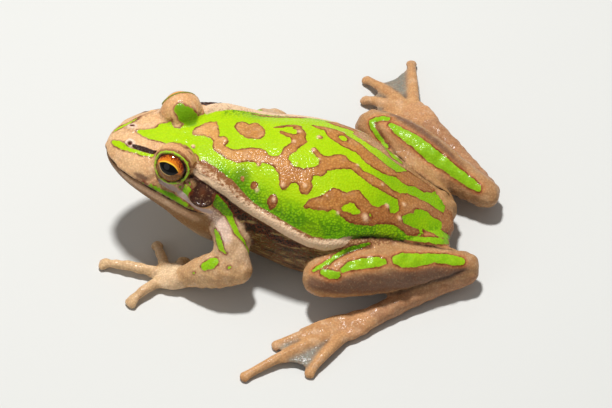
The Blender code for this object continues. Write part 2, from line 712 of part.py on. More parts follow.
def settle(nodes):
    """Give each node its origin, finish and parent, with the outline's middle at the origin."""
    corners = [obj.matrix_world @ Vector(corner) for obj in nodes.values() for corner in obj.bound_box]
    middle = Vector(((min(c.x for c in corners) + max(c.x for c in corners)) / 2,
                     (min(c.y for c in corners) + max(c.y for c in corners)) / 2, 0))
    frog = bpy.data.objects.new("frog", None)
    bpy.context.scene.collection.objects.link(frog)
    for name, obj in nodes.items():
        obj.name = name
        box = [Vector(corner) for corner in obj.bound_box]
        own = sum(box, Vector()) / len(box)
        obj.data.transform(Matrix.Translation(-own))
        obj.location = own - middle
        obj.parent = frog
        obj.data.materials.clear()
        obj.data.materials.append(make_finish(finish_of(name), name))
        obj.data.shade_smooth()
        obj.data.set_sharp_from_angle(angle=math.radians(SHARP_ANGLE))


TRUNK_FINE = smooth_stations(TRUNK_STATIONS, STEPS_PER_STATION)


def main():
    """Build the frog."""
    for obj in list(bpy.data.objects):
        bpy.data.objects.remove(obj)
    nodes = make_body()
    for side in ("left", "right"):
        nodes.update(make_arm(side))
        nodes.update(make_leg(side))
    bpy.context.view_layer.update()
    settle(nodes)


main()
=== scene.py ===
"""The looks of a still, life-size green and golden bell frog, built around its solids.

One skin covers the flesh from snout to toes, so no seam shows. It is cast from the solids, closed
over their joints, and then shaped by moving its points, as in sculpting. The eyes are pieces of
their own. Sizes are in millimetres and turn to metres where a piece is finished.
"""

import logging
import math
from dataclasses import dataclass, field
from enum import Enum
from functools import partial

import bmesh
import bpy
import numpy as np
from mathutils import Matrix, Vector
from mathutils.bvhtree import BVHTree

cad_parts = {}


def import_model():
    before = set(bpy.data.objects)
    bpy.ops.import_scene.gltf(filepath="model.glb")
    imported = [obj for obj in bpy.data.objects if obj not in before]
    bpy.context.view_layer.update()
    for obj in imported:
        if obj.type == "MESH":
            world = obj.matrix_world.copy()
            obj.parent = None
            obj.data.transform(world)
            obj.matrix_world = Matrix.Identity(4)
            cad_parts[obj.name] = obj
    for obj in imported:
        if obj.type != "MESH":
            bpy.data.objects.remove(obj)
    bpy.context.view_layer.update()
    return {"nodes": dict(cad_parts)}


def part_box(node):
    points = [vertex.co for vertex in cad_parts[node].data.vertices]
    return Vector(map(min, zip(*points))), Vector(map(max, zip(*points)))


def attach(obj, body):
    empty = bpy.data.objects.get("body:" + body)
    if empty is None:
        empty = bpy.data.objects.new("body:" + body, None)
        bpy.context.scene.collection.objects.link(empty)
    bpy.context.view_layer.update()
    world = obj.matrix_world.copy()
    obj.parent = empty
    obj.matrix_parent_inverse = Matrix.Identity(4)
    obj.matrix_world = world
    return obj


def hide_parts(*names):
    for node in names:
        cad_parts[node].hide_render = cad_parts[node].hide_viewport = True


LOG = logging.getLogger("frog")
MM = 0.001
FAR = -9.0                       # depth that stands for well outside a marking
Chain = tuple[tuple[float, ...], ...]
Place = tuple[float, float, float]


class Side(Enum):
    """The frog's two sides, with the sign of the direction across it."""

    LEFT = -1
    RIGHT = 1


class Kind(Enum):
    """The kinds of shader node that the finishes are made of."""

    COORDINATES = "ShaderNodeTexCoord"
    MAP = "ShaderNodeUVMap"
    ATTRIBUTE = "ShaderNodeAttribute"
    MAPPING = "ShaderNodeMapping"
    ROTATE = "ShaderNodeVectorRotate"
    SPLIT = "ShaderNodeSeparateXYZ"
    NOISE = "ShaderNodeTexNoise"
    CELLS = "ShaderNodeTexVoronoi"
    MATH = "ShaderNodeMath"
    VECTOR_MATH = "ShaderNodeVectorMath"
    RANGE = "ShaderNodeMapRange"
    MIX = "ShaderNodeMix"
    LIGHTNESS = "ShaderNodeRGBToBW"
    BUMP = "ShaderNodeBump"
    SHADER = "ShaderNodeBsdfPrincipled"
    OUTPUT = "ShaderNodeOutputMaterial"


def linear(code: str) -> tuple[float, float, float, float]:
    """Turn an sRGB hex colour into linear values.

    Args:
        code: six hex digits.

    Returns:
        Red, green, blue and a full alpha.
    """
    values = [int(code[start:start + 2], 16) / 255 for start in (0, 2, 4)]
    bent = [value / 12.92 if value <= 0.04045 else ((value + 0.055) / 1.055) ** 2.4 for value in values]
    return (*bent, 1.0)


def add_node(tree: bpy.types.NodeTree, kind: Kind, links: dict | None = None,
             **settings) -> bpy.types.NodeOutputs:
    """Add a shader node with its settings and what feeds it.

    Args:
        tree: the material's nodes.
        kind: the node's kind.
        links: a socket or a plain value for each input, by its name or number.
        settings: the node's own properties.

    Returns:
        The new node's outputs.
    """
    node = tree.nodes.new(kind.value)
    for name, value in settings.items():
        setattr(node, name, value)
    for key, value in (links or {}).items():
        if isinstance(value, bpy.types.NodeSocket):
            tree.links.new(value, node.inputs[key])
        else:
            node.inputs[key].default_value = value
    return node.outputs


def fade(values: np.ndarray, low: float, high: float) -> np.ndarray:
    """Rise smoothly from 0 at low to 1 at high.

    Args:
        values: any numbers.
        low: where the rise starts.
        high: where it ends, which may be less than low.

    Returns:
        Shares between 0 and 1.
    """
    share = np.clip((values - low) / (high - low), 0.0, 1.0)
    return share * share * (3 - 2 * share)


def segment_shares(points: np.ndarray, start: np.ndarray, end: np.ndarray) -> tuple[np.ndarray, np.ndarray]:
    """Find the nearest place to each point on a straight line between two ends.

    Args:
        points: one point a row.
        start: the line's first end.
        end: the line's last end.

    Returns:
        Each place's share of the way along the line, and the step from that place to the point.
    """
    along = end - start
    shares = np.clip((points - start) @ along / max(along @ along, 1e-9), 0.0, 1.0)
    return shares, points - start - shares[:, None] * along


def chain_field(points: np.ndarray, chain: Chain) -> np.ndarray:
    """Measure how deep points lie inside a strip.

    Args:
        points: one point a row, in as many dimensions as the chain's places.
        chain: the places along the strip, each with its half width last.

    Returns:
        The depth inside the strip, less than 0 outside it.
    """
    size = points.shape[1]
    best = np.full(len(points), -1e3)
    for first, second in zip(chain, chain[1:]):
        shares, step = segment_shares(points, np.array(first[:size]), np.array(second[:size]))
        half_width = first[size] + (second[size] - first[size]) * shares
        best = np.maximum(best, half_width - np.linalg.norm(step, axis=1))
    return best


def outline_field(points: np.ndarray, outline: Chain) -> np.ndarray:
    """Measure how deep flat points lie inside a closed outline.

    Args:
        points: flat points, one a row.
        outline: the corners in order.

    Returns:
        The depth inside the outline, less than 0 outside it.
    """
    away = np.full(len(points), 1e3)
    inside = np.zeros(len(points), bool)
    for first, second in zip(outline, outline[1:] + outline[:1]):
        start, end = np.array(first[:2], float), np.array(second[:2], float)
        away = np.minimum(away, np.linalg.norm(segment_shares(points, start, end)[1], axis=1))
        if start[1] != end[1]:
            crosses = (start[1] > points[:, 1]) != (end[1] > points[:, 1])
            reach = start[0] + (points[:, 1] - start[1]) * (end[0] - start[0]) / (end[1] - start[1])
            inside ^= crosses & (points[:, 0] < reach)
    return np.where(inside, away, -away)


def iris_frame(axis: Vector) -> tuple[Vector, Vector]:
    """Find the directions in the plane of an eye's iris.

    Args:
        axis: the direction that the eye looks in.

    Returns:
        The direction towards the rear, and the one upward.
    """
    level = Vector((0, 0, 1)).cross(axis).normalized()
    if level.x < 0:
        level.negate()
    up = axis.cross(level).normalized()
    if up.z < 0:
        up.negate()
    return level, up


def on_side(chain: Chain, side: Side) -> Chain:
    """Return a chain of places of the right side on the side asked for."""
    return tuple((item[0], item[1] * side.value, *item[2:]) for item in chain)


@dataclass(frozen=True)
class Wave:
    """A rounded ridge or groove: its height, where it lies and how wide it is."""

    height: float
    place: float
    width: float

    def at(self, values: np.ndarray) -> np.ndarray:
        """Return the height at each place."""
        return self.height * np.exp(-((values - self.place) / self.width) ** 2)


@dataclass(frozen=True)
class Slope:
    """A smooth step: its height, where it starts and where it is whole."""

    height: float
    low: float
    high: float

    def at(self, values: np.ndarray) -> np.ndarray:
        """Return the height at each place."""
        return self.height * fade(values, self.low, self.high)


def total(forms: tuple[Wave | Slope, ...], values: np.ndarray) -> np.ndarray:
    """Return the height of several forms together at each place."""
    return sum(form.at(values) for form in forms)


@dataclass(frozen=True)
class Stance:
    """How the head is turned and raised on the body, about a point in the neck."""

    turn: float = 6.0
    rise: float = 6.0
    pivot: Place = (-8.0, 0.0, 20.0)
    bend: tuple[float, float] = (-3.0, -13.0)    # the neck's ends, as places along the body
    passes: int = 6

    def turned(self, points: np.ndarray, along: np.ndarray, back: bool = False) -> np.ndarray:
        """Turn points about the neck by the share that their place along the body gives.

        Args:
            points: one point a row.
            along: each point's place along the straight body.
            back: true to undo the turn.

        Returns:
            The turned points.
        """
        share = fade(along, *self.bend)
        turn, rise = np.radians(self.turn) * share, np.radians(self.rise) * share
        x, y, z = (points - np.array(self.pivot)).T
        if back:
            x, y = x * np.cos(turn) + y * np.sin(turn), y * np.cos(turn) - x * np.sin(turn)
            x, z = x * np.cos(rise) - z * np.sin(rise), z * np.cos(rise) + x * np.sin(rise)
        else:
            x, z = x * np.cos(rise) + z * np.sin(rise), z * np.cos(rise) - x * np.sin(rise)
            x, y = x * np.cos(turn) - y * np.sin(turn), y * np.cos(turn) + x * np.sin(turn)
        return np.stack((x, y, z), axis=1) + np.array(self.pivot)

    def straightened(self, points: np.ndarray) -> np.ndarray:
        """Move points to where they lie on the straight body.

        Args:
            points: one point a row, on the frog as it sits.

        Returns:
            The same points on a frog that looks straight ahead.
        """
        guess = points
        for _ in range(self.passes):
            guess = self.turned(points, guess[:, 0], back=True)
        return guess

    def placed(self, place: Place, side: Side) -> Vector:
        """Take a place of the straight body's right side to one side of the frog as it sits.

        Args:
            place: its place along, across and up.
            side: the side it goes to.

        Returns:
            Where it lies.
        """
        point = np.array(on_side((place,), side), float)
        return Vector(self.turned(point, point[:, 0])[0])


@dataclass(frozen=True)
class Markings:
    """The outlines of the frog's colours on the straight body, in millimetres."""

    # Seen from above, as places along and across, with the frog's left side less than 0
    copper: tuple[Chain, ...] = (
        ((-20, .2), (-20.1, 1.6), (-19.7, 2.3), (-17.6, 4.1), (-16.3, 4.7), (-15, 4.9), (-14.5, 3.6),
         (-14.1, .5), (-13.3, .6), (-12.4, .3), (-12, -.6), (-12.1, -1.5), (-12.7, -2.1), (-11.9, -2.6),
         (-10.4, -2.9), (-5.1, -1.8), (-3.6, -1.9), (-2.4, -2.3), (-1.7, -3.3), (-1.1, -3.6), (0, -3.4),
         (.8, -2.8), (1.2, -1.7), (1.1, -.8), (2.6, .7), (2.6, 1.5), (1.9, 2.2), (-.5, 3.3), (-.6, 4.2),
         (2.8, 3.5), (3.5, 4), (3, 5), (1.9, 5.6), (2.6, 6.8), (3.7, 6.9), (5.4, 4.6), (5.4, 3.2),
         (6.1, 2), (5.6, .9), (4.7, 0), (4.2, -1.3), (2.8, -2.8), (2.9, -3.7), (4.4, -5.2), (6.5, -5.2),
         (8.6, -4.2), (9.5, -3.4), (9.3, -2.2), (7.3, -.4), (7.3, .3), (7.8, .8), (8.7, .5), (9.4, -.4),
         (10.4, -.8), (11.5, -.4), (12.4, .5), (13.7, 1.1), (14.8, 1.1), (15.8, .3), (17.2, .2),
         (19.2, -.9), (20.5, -.6), (23, -.7), (26, -1.6), (27.3, -1.2), (28.9, 0), (33.3, 1), (37.2, 1.2),
         (38.7, .6), (39.3, -.2), (38.8, -1.7), (37.3, -1.2), (34.7, -1.9), (33.5, -1.5), (32.2, -1.8),
         (31.1, -2.7), (30.4, -4.7), (29.3, -5.3), (29, -6.2), (29.2, -7), (32.5, -6.4), (32.9, -7.1),
         (31.5, -8.4), (30.2, -8.8), (27.9, -8.6), (26.6, -8.8), (25.3, -9.4), (22.6, -11.4),
         (18.1, -12.7), (15.6, -12.3), (14.1, -11.6), (13.8, -12.1), (12.7, -12.5), (8, -12.9),
         (7.6, -12.6), (8.5, -11.3), (11.7, -9.5), (13.4, -7.5), (16.5, -7.4), (17.7, -6.4), (19.1, -5.8),
         (22.1, -7.5), (23.4, -7.2), (25.1, -5.4), (25.7, -6), (25.9, -6.8), (26.9, -6.5), (27.7, -5.3),
         (27.6, -4.1), (27.1, -3.2), (21.2, -3.4), (16.2, -1.9), (11.7, -4.1), (11.4, -5.1), (10.5, -6.1),
         (9.7, -6), (8.8, -6.5), (8.6, -7.5), (9.1, -8.6), (8.9, -9.7), (8.2, -10.4), (7, -10.6),
         (6.3, -9.9), (6, -9.1), (5.3, -8.7), (4.3, -8.9), (3.4, -10.3), (2.4, -10.4), (1.8, -9.8),
         (1.3, -7.5), (-.1, -5.9), (-2.7, -5.4), (-3, -6.1), (-3.5, -6.4), (-4.4, -5.5), (-5.7, -5.5),
         (-8.9, -6.2), (-12.1, -5.4), (-15.1, -3.6), (-15.4, -2.4), (-15.3, -1.1), (-16, -.3),
         (-17.5, .2), (-18.8, .2)),
        ((-11, 3.8), (-10.7, 5), (-9.7, 5.9), (-8.5, 5.8), (-7.7, 5.1), (-6.9, 5.9), (-5.8, 6.1),
         (-4.6, 4.9), (-3.6, 3.4), (-3.5, 1.8), (-4.4, .7), (-6, .4), (-7.8, .6), (-9.3, 1.5),
         (-10.4, 2.6)),
        ((5.7, 8.4), (8.3, 9), (11.1, 9.2), (14, 8.2), (17.1, 7.1), (19.2, 5.8), (21.3, 5.2),
         (23.4, 4.4), (25.7, 4), (27.8, 7), (31.8, 7.2), (34.6, 6.9), (33.2, 4.4), (32.1, 3.2),
         (29.8, 3), (28.6, 2),
         (27.3, 1.9), (25.8, 2.5), (24.2, 1.4), (22.6, 1.2), (19.4, 1.5), (16.7, 3.3), (13.5, 3.6),
         (10.8, 4.9), (9.5, 6.1), (8.8, 7.4), (7.2, 7.4)),
        ((-8.6, 10.2), (-6.1, 11.3), (-2.2, 11.6), (.4, 12.3), (2.6, 13.6), (4.2, 12.9), (3.1, 11.6),
         (.6, 10.8), (-2.4, 10.2), (-5.6, 9.8)),
        ((8.2, 12.2), (10.6, 14.2), (14.6, 14.3), (17.2, 12.6), (16.2, 11.0), (13.1, 11.4),
         (10.4, 11.2)),
        ((20.4, 10.2), (22.6, 11.9), (26.8, 10.6), (28.4, 8.3), (26.4, 7.6), (23.2, 8.6)),
        ((-2.4, 5.0), (-.5, 6.2), (.9, 6.9), (2.4, 7.3), (4.2, 7.0), (4.0, 6.2), (2.4, 6.3), (.9, 5.9),
         (-.5, 5.3), (-1.8, 4.7)),
    )
    islands: tuple[Chain, ...] = (
        ((12.2, 6.4), (12.6, 7.4), (13.3, 7.6), (14.1, 7), (14.1, 5.9), (13.3, 5.5)),
        ((15.8, -10.9), (16.3, -10.1), (17.4, -9.2), (18.3, -9), (19.3, -9.5), (20.1, -10),
         (19.3, -10.7), (17.8, -11), (16.3, -11.2)),
        ((21.6, -9.6), (22, -9.2), (22.4, -9.6), (22, -10)),
    )
    dots: Chain = ((8.4, 4.3, .7), (-7, -9.2, .6), (-3.7, -10.1, .9), (.8, -12.5, 1.2), (-23.4, 3, .8),
                   (-19.6, -3.3, .5), (34, -5.6, .9))
    wart_tips: Chain = (
        (8.1, 4.2, .4), (7.7, 0, .4), (9.5, -2, .2), (17.5, -.2, .3), (23.3, -1.9, .3), (28.4, -3.4, .4),
        (25.1, -5.9, .4), (36.1, 3.6, .3), (15.2, -11.9, .3), (12.4, -9.6, .2), (7.4, -8.8, .4),
        (2.6, -9.4, .4), (-3.6, -6, .3), (-7.3, -5.4, .2), (-12.8, -.9, .3), (-2.9, -10.7, .4),
        (1.1, -12.1, .4), (3.7, 4.5, .4), (3.2, 1.2, .4), (4.8, -4.4, .2), (-19.6, -3, .4),
        (12.9, 8.6, .3), (21, -10.4, .6), (28, -6.8, .4), (-17.6, 7.9, .5), (10.6, 13, .4),
        (18.4, 9.4, .3), (24.6, 9.8, .4))
    crown: Chain = (
        (-32.3, 1.1), (-31.8, 1.5), (-30.5, 1.6), (-29, 1.7), (-28, 2.3), (-27.4, 3.3), (-26.3, 3.6),
        (-25, 3.3), (-24, 2.1), (-22.9, 1.9), (-22.1, 3), (-21.5, 3.5), (-20.5, 4.3), (-19.2, 5.4),
        (-18, 7.3), (-16.3, 9.2), (-14.1, 9.9), (-8, 10.6), (0, 11), (0, -11), (-8, -10.8),
        (-10.9, -10.4), (-13, -9.4), (-16.7, -7.8), (-17.9, -7.3), (-18, -5.8), (-19.1, -4.6),
        (-19.9, -7.1), (-20.6, -6.9), (-24.3, -4.6), (-25.8, -2.1), (-29.5, -1.2), (-32.2, .6))
    rear: Chain = ((19, 15.2), (24, 14), (30, 11.6), (36, 7.6), (38.8, 3), (38.8, -3), (36, -7.6),
                   (30, -11.6), (24, -14), (19, -15.2))

    # The crest of the fold from the eye to the groin, as places along, across and up, right side
    fold: Chain = (
        (-19.4, 7.4, 26.9), (-18.7, 8.0, 26.7), (-17.5, 8.8, 26.5), (-16.3, 9.6, 26.3),
        (-15.1, 10.1, 26.1), (-14.0, 10.7, 25.8), (-12.8, 11.2, 25.4), (-11.5, 11.6, 24.9),
        (-10.0, 12.0, 24.3), (-8.5, 12.3, 23.4), (-6.1, 12.8, 22.4), (-3.9, 13.3, 21.5),
        (-1.7, 14.1, 20.9), (.7, 14.9, 20.3), (5.4, 16.2, 18.7), (9.9, 16.9, 17.1), (13.2, 16.7, 16.5),
        (16.4, 15.9, 16.8), (19.0, 14.8, 17.6))

    hem: Chain = ((27, 12.4, 13.6), (32, 10.2, 10.6), (38, 5.0, 7.8))    # its line past the groin

    # Strips of the head and flank, on the right side, as places along, across and up and a half width
    head_green: tuple[Chain, ...] = (
        ((-37.1, 1.0, 23.5, .4), (-36.3, 1.9, 24.0, .7), (-35.1, 2.8, 24.6, .8), (-33.7, 3.7, 24.9, .5),
         (-32.1, 4.4, 25.2, .4), (-30.5, 5.0, 25.5, .35), (-29.0, 5.4, 25.7, .35), (-27.8, 5.7, 25.9, .4)),
        ((-30.8, 9.4, 22.0, .3), (-28.7, 10.3, 22.1, .5), (-26.8, 11.0, 22.1, .75), (-25.0, 11.7, 21.9, .8),
         (-23.4, 12.3, 21.6, .8), (-21.7, 12.9, 21.1, .75), (-19.9, 13.5, 20.5, .65),
         (-18.0, 13.9, 19.9, .5), (-16.6, 14.2, 19.4, .3)),
        ((-21.2, 11.9, 23.9, .5), (-20.3, 11.8, 24.6, 1.1), (-19.8, 12.1, 24.2, 1.1),
         (-19.7, 12.6, 23.1, .8), (-19.2, 13.2, 22.2, .4)),
        ((-13.3, 13.1, 23.5, .7), (-12.7, 13.7, 22.2, 1.2), (-11.4, 14.0, 21.1, 1.2),
         (-9.6, 14.3, 19.4, 1.0), (-8.2, 14.9, 17.6, .5)),
    )
    canthus: Chain = ((-32.6, 3.1, 25.3, .5), (-32.1, 3.3, 25.4, .6), (-30.9, 3.7, 25.7, .65),
                      (-29.3, 4.4, 25.9, .65), (-28.2, 4.7, 26.0, .6), (-27.3, 4.8, 26.2, .5))
    right_green: Chain = ((-37.3, 2.2, 23.2, .2), (-36.5, 2.7, 23.7, .35), (-35.4, 3.2, 24.3, .35),
                          (-34.4, 3.7, 24.6, .35), (-33.6, 4.2, 24.8, .3), (-32, 5.8, 24.5, .3),
                          (-30, 7.2, 24.3, .3), (-28, 8.0, 24.3, .4))
    right_canthus: Chain = ((-33.0, 3.6, 24.9, .35), (-32.0, 5.0, 24.8, .4), (-30, 6.4, 24.8, .45),
                            (-28, 7.0, 25.0, .5))
    lip_shadow: Chain = ((-31.8, 8.5, 22.7, .4), (-30.8, 9.0, 22.8, .7), (-29.5, 9.7, 22.9, .7),
                         (-28.1, 10.1, 23.2, .45))
    under_fold: Chain = ((-20.4, 11.0, 27.2, .3), (-19.3, 10.2, 25.9, .5), (-18.0, 10.3, 25.8, .5),
                         (-16.4, 10.8, 25.6, .5), (-14.7, 11.6, 25.2, .6), (-13.2, 12.4, 24.4, .7),
                         (-11.4, 13.1, 23.1, .9), (-9.3, 13.6, 21.3, 1.2), (-6.8, 14.2, 19.3, 1.6),
                         (-4.6, 14.7, 17.9, 1.5), (-1.0, 15.6, 17.2, 1.3), (3.0, 16.8, 16.2, .9),
                         (7.5, 17.5, 15.2, .5))
    lip_stripe: Chain = ((-27.5, 10.0, 23.7, .25), (-25.9, 10.7, 23.6, .5), (-24.0, 11.5, 23.3, .7),
                         (-22.2, 12.2, 23.0, .7), (-20.3, 13.0, 22.4, .7), (-18.6, 13.6, 21.6, .7),
                         (-17.2, 14.0, 20.7, .7), (-15.6, 14.2, 20.1, .7), (-13.8, 14.4, 19.7, .5))
    lip_line: Chain = ((-30.5, 9.6, 21.2, .1), (-28.9, 10.3, 21.3, .25), (-27.5, 10.9, 21.0, .25),
                       (-25.6, 11.6, 20.7, .25), (-23.7, 12.3, 20.3, .25), (-21.9, 12.9, 19.9, .25),
                       (-20, 13.5, 19.4, .25), (-18.4, 13.9, 18.8, .2))
    lip_pale: Chain = ((-34.4, 7.2, 20.4, .4), (-32.4, 8.5, 20.0, .5), (-30.1, 9.8, 19.8, .6),
                       (-27.8, 10.8, 19.4, .7), (-25.4, 11.7, 18.8, .8), (-22.6, 12.7, 18.1, .8),
                       (-19.6, 13.6, 17.3, .7), (-17.0, 14.1, 16.4, .5))
    arm_pale: Chain = ((-13.6, 14.8, 20.6, .5), (-12.2, 15.1, 20.5, .8), (-11.3, 15.1, 19.0, 1.0),
                       (-10.4, 15.6, 18.1, 1.2), (-9.3, 16.7, 17.6, 1.2), (-8.6, 18.2, 16.0, 1.0))
    mouth: Chain = ((-38.4, .8, 20.9), (-38.0, 2.2, 20.9), (-36.9, 4.2, 21.2), (-35.5, 6.0, 21.4),
                    (-33.8, 7.5, 21.5), (-31.4, 9.0, 21.6), (-29.6, 9.9, 21.6), (-27.5, 10.8, 21.4),
                    (-25.1, 11.7, 21.0), (-22.8, 12.6, 20.4), (-20.5, 13.3, 19.8), (-18.6, 13.8, 19.2),
                    (-16.3, 14.3, 18.8), (-14.2, 14.5, 18.6))
    nostril: Place = (-33.4, 2.45, 25.2)
    ear: Place = (-16.4, 12.8, 23.9)
    eye: Place = (-23.3, 8.2, 26.8)
    eye_axis: Place = (-0.20, 0.88, 0.43)
    brow_tail: Chain = ((-20.9, 6.7, 30.5, .7), (-19.9, 6.4, 29.7, .8), (-18.9, 6.9, 28.4, .8),
                        (-18.3, 7.3, 26.9, .7))
    brow_patch: Chain = ((-23.3, 5.0, 30.2, 1.3), (-22.2, 4.6, 29.3, 1.9), (-21.0, 4.4, 28.4, 1.8))

    # Strips on the limbs as the frog sits: places along, across and up and a half width
    limb_green: tuple[Chain, ...] = (
        ((18, -21, 14, .6), (19.4, -20, 14.5, 1), (21, -19.3, 14.7, 1.1), (23.1, -18.5, 14.5, 1.2),
         (25.0, -17.8, 14.4, 1.1), (26.2, -17.3, 14.1, .8)),
        ((29.3, -15.9, 13.8, 1.2), (30.6, -15.4, 13.4, 1.7), (32.5, -14.6, 12.8, 1.6),
         (34.8, -13.4, 12.2, 1.3), (36.8, -12.2, 11.6, 1.1), (38.9, -11.4, 10.9, 1.2),
         (40.9, -10.9, 10.3, 1.2), (42.6, -10.5, 9.7, .9)),
        ((13.7, -22, 13.6, .7), (15.3, -22.3, 13.5, 1), (16.7, -22.2, 13.5, .8)),
        ((17.9, 23.5, 14.2, .5), (16.9, 22.8, 13.8, .5), (17.6, 21.3, 13.3, .5), (19.2, 19.4, 12.9, .5),
         (21.5, 16.9, 12.6, .5)),
        ((17.9, 23.3, 14.2, .7), (19.5, 23.5, 14.5, .7), (20.7, 23.4, 14.7, .6)),
        ((21.6, 21.7, 14.8, .7), (23.4, 20.3, 14.9, 1), (25.7, 19.1, 14.7, 1.3), (27.9, 18.1, 14.3, 1.4),
         (30.1, 16.9, 13.7, 1.6), (32.4, 15.7, 12.8, 1.6), (34.8, 14.9, 12, 1.4), (36.8, 14, 11.2, 1.3),
         (38.9, 13.2, 10.4, 1.2), (41.2, 12.2, 9.6, 1.1), (43.1, 11.5, 9.1, .8)),
        ((-12.5, -22.5, 10.7, 1), (-11.2, -22.2, 11.6, 1.3), (-10.6, -22, 11.9, 1.1)),
        ((-15.1, -22.9, 8.1, .25), (-14.7, -22.9, 8.3, .2)),
        ((-7.2, -23, 11.8, .3), (-6.7, -22.9, 12.0, .2)),
        ((-11.3, -16.5, 16.2, .4), (-10.7, -17.5, 15.9, .7),
         (-10.0, -18.9, 14.9, .8), (-9.2, -19.8, 14.1, .6), (-8.3, -20.6, 13.9, .3)),
        ((-8.5, -14.6, 19.4, .6), (-7.4, -15.7, 17.9, .6), (-6.3, -16.9, 16.7, .5),
         (-4.9, -17.5, 15.3, .4), (-4.0, -17.8, 13.2, .4), (-3.3, -18.4, 12.0, .25)),
        ((-10.6, 22.4, 11.6, .9), (-9.4, 22.6, 11.9, 1.2), (-8.6, 22.4, 12, .9)),
        ((-9.4, 18.2, 14.6, .6), (-9.0, 19.4, 13.8, .7), (-8.4, 20.6, 13.2, .6)),
    )
    seam_green: tuple[Chain, ...] = (
        ((11.6, -21.7, 13.4, .4), (12.9, -20.7, 13.9, .5), (14.4, -19.5, 14.2, .6), (15.7, -18.1, 14.6, .6),
         (17.2, -17, 15, .55), (19.4, -15.6, 15.4, .5), (20.9, -14.8, 15.5, .45), (22.6, -13.8, 15.4, .3)),
        ((22.2, 11.2, 18.7, .7), (24.2, 9.2, 18.8, .9), (25.9, 8.8, 17.6, .6)),
        ((16.4, -15.5, 18.1, .4), (18.4, -14.2, 18.4, .7), (20.6, -12.9, 18.3, .8), (23, -11.5, 17.8, .8),
         (25.7, -10.1, 16.7, .8), (28, -9.4, 15.3, .6)),
        ((30.9, -9.1, 13.3, .4), (33, -8.3, 12.7, .6), (35.2, -7.5, 11.9, .7), (37.3, -6.7, 10.9, .7),
         (38.9, -5, 8.9, .5)),
        ((29.1, -6.1, 16.5, .6), (30.6, -4.8, 15.6, .9), (32.4, -4.5, 14.3, 1.1), (34.7, -4.6, 12.5, 1.1),
         (37, -4.7, 10.9, 1), (38.8, -3.2, 7.8, .7)),
    )
    seam: tuple[Chain, ...] = (
        ((16.8, -15.7, 17.8, .2), (18.5, -14.9, 17.5, .35), (20.5, -13.9, 17, .45), (23, -12.7, 16.4, .5),
         (25.9, -11.4, 15.2, .5), (28.9, -10.4, 13.9, .45), (31.7, -9.9, 12.9, .4), (34.3, -9.2, 12, .4),
         (37.5, -8.2, 10.6, .35), (40.1, -7.2, 9.3, .25)),
        ((14.3, -21.3, 14, .2), (15.1, -19.6, 14.5, .2), (16.6, -17.9, 14.8, .2), (18.7, -16.2, 15.1, .2),
         (21.2, -15.2, 15.3, .2), (23.3, -14.2, 14.9, .15)),
        ((28.4, -18.8, 5.2, .3), (30.7, -17.9, 5.5, .4), (33.2, -17.1, 6.1, .45), (36.1, -15.7, 6.5, .45),
         (39, -14.3, 7, .45), (41.7, -12.8, 7.6, .35), (43.5, -11.8, 8, .2)),
        ((18, 22.5, 14.1, .25), (18.8, 20.9, 13.8, .3), (20.1, 19.2, 13.4, .35), (21.8, 17.6, 13, .35),
         (23, 16.3, 12.9, .35), (24.2, 14.8, 12.9, .35), (25.7, 13.5, 12.9, .35), (27.4, 10.5, 14.9, .35),
         (29.9, 10.2, 13, .35), (32.6, 9, 12.4, .35), (35, 8, 11.4, .35), (38.5, 7.4, 9.6, .3)),
    )
    shadow_seams: tuple[int, int] = (0, 3)     # the seams that also get a painted shadow line

    # Where the green of the rump ends above each thigh's rim, near side and far side
    rump_edge: tuple[Chain, ...] = (
        ((16.8, -15.7, 17.8), (18.5, -14.9, 17.5), (20.5, -13.9, 17), (23, -12.7, 16.4), (25.9, -11.4, 15.2),
         (28.9, -10.4, 13.9), (31.7, -9.9, 12.9), (34.3, -9.2, 12), (37.5, -8.2, 10.6), (40.1, -7.2, 9.3)),
        ((14.7, 9.8, 23.8), (16.9, 8.8, 23.4), (19, 8.2, 22.6), (21.1, 8.1, 21.4), (23.2, 7.4, 20.3),
         (25.3, 6.8, 19), (28.1, 7, 16.8), (31.7, 6.9, 13.8), (35.2, 6.6, 11.8)),
    )
    shank_shade: tuple[Chain, ...] = (
        ((11.6, -23.7, 11.4, 1.1), (14.5, -24, 11, 1.5), (18.8, -23.2, 10.9, 2.2), (23, -21.9, 10.6, 2.7),
         (27.2, -20.3, 10.0, 2.9), (31.3, -18.3, 9.6, 2.8), (35.4, -16, 9.1, 2.5), (39.5, -13.6, 8.6, 2.1),
         (42.8, -11.8, 8.4, 1.4)),
        ((21.5, 25.5, 13.8, .6), (24.8, 23.4, 14.5, 1), (28.3, 21.4, 14.2, 1.2), (31.8, 19.3, 13.6, 1.2),
         (35.2, 17, 12.4, 1.2), (38.3, 14.8, 10.9, 1.1), (41.2, 12.5, 9.3, 1.0), (43.2, 10.8, 8.2, .8)),
        ((18, 27.4, 11.6, .9), (22, 26.6, 11.4, 1.5), (26, 25, 10.6, 1.9), (30, 23, 9.6, 2),
         (34, 21, 8.8, 1.9), (38, 18.8, 8.0, 1.6), (42, 16.6, 7.4, 1.1)),
    )


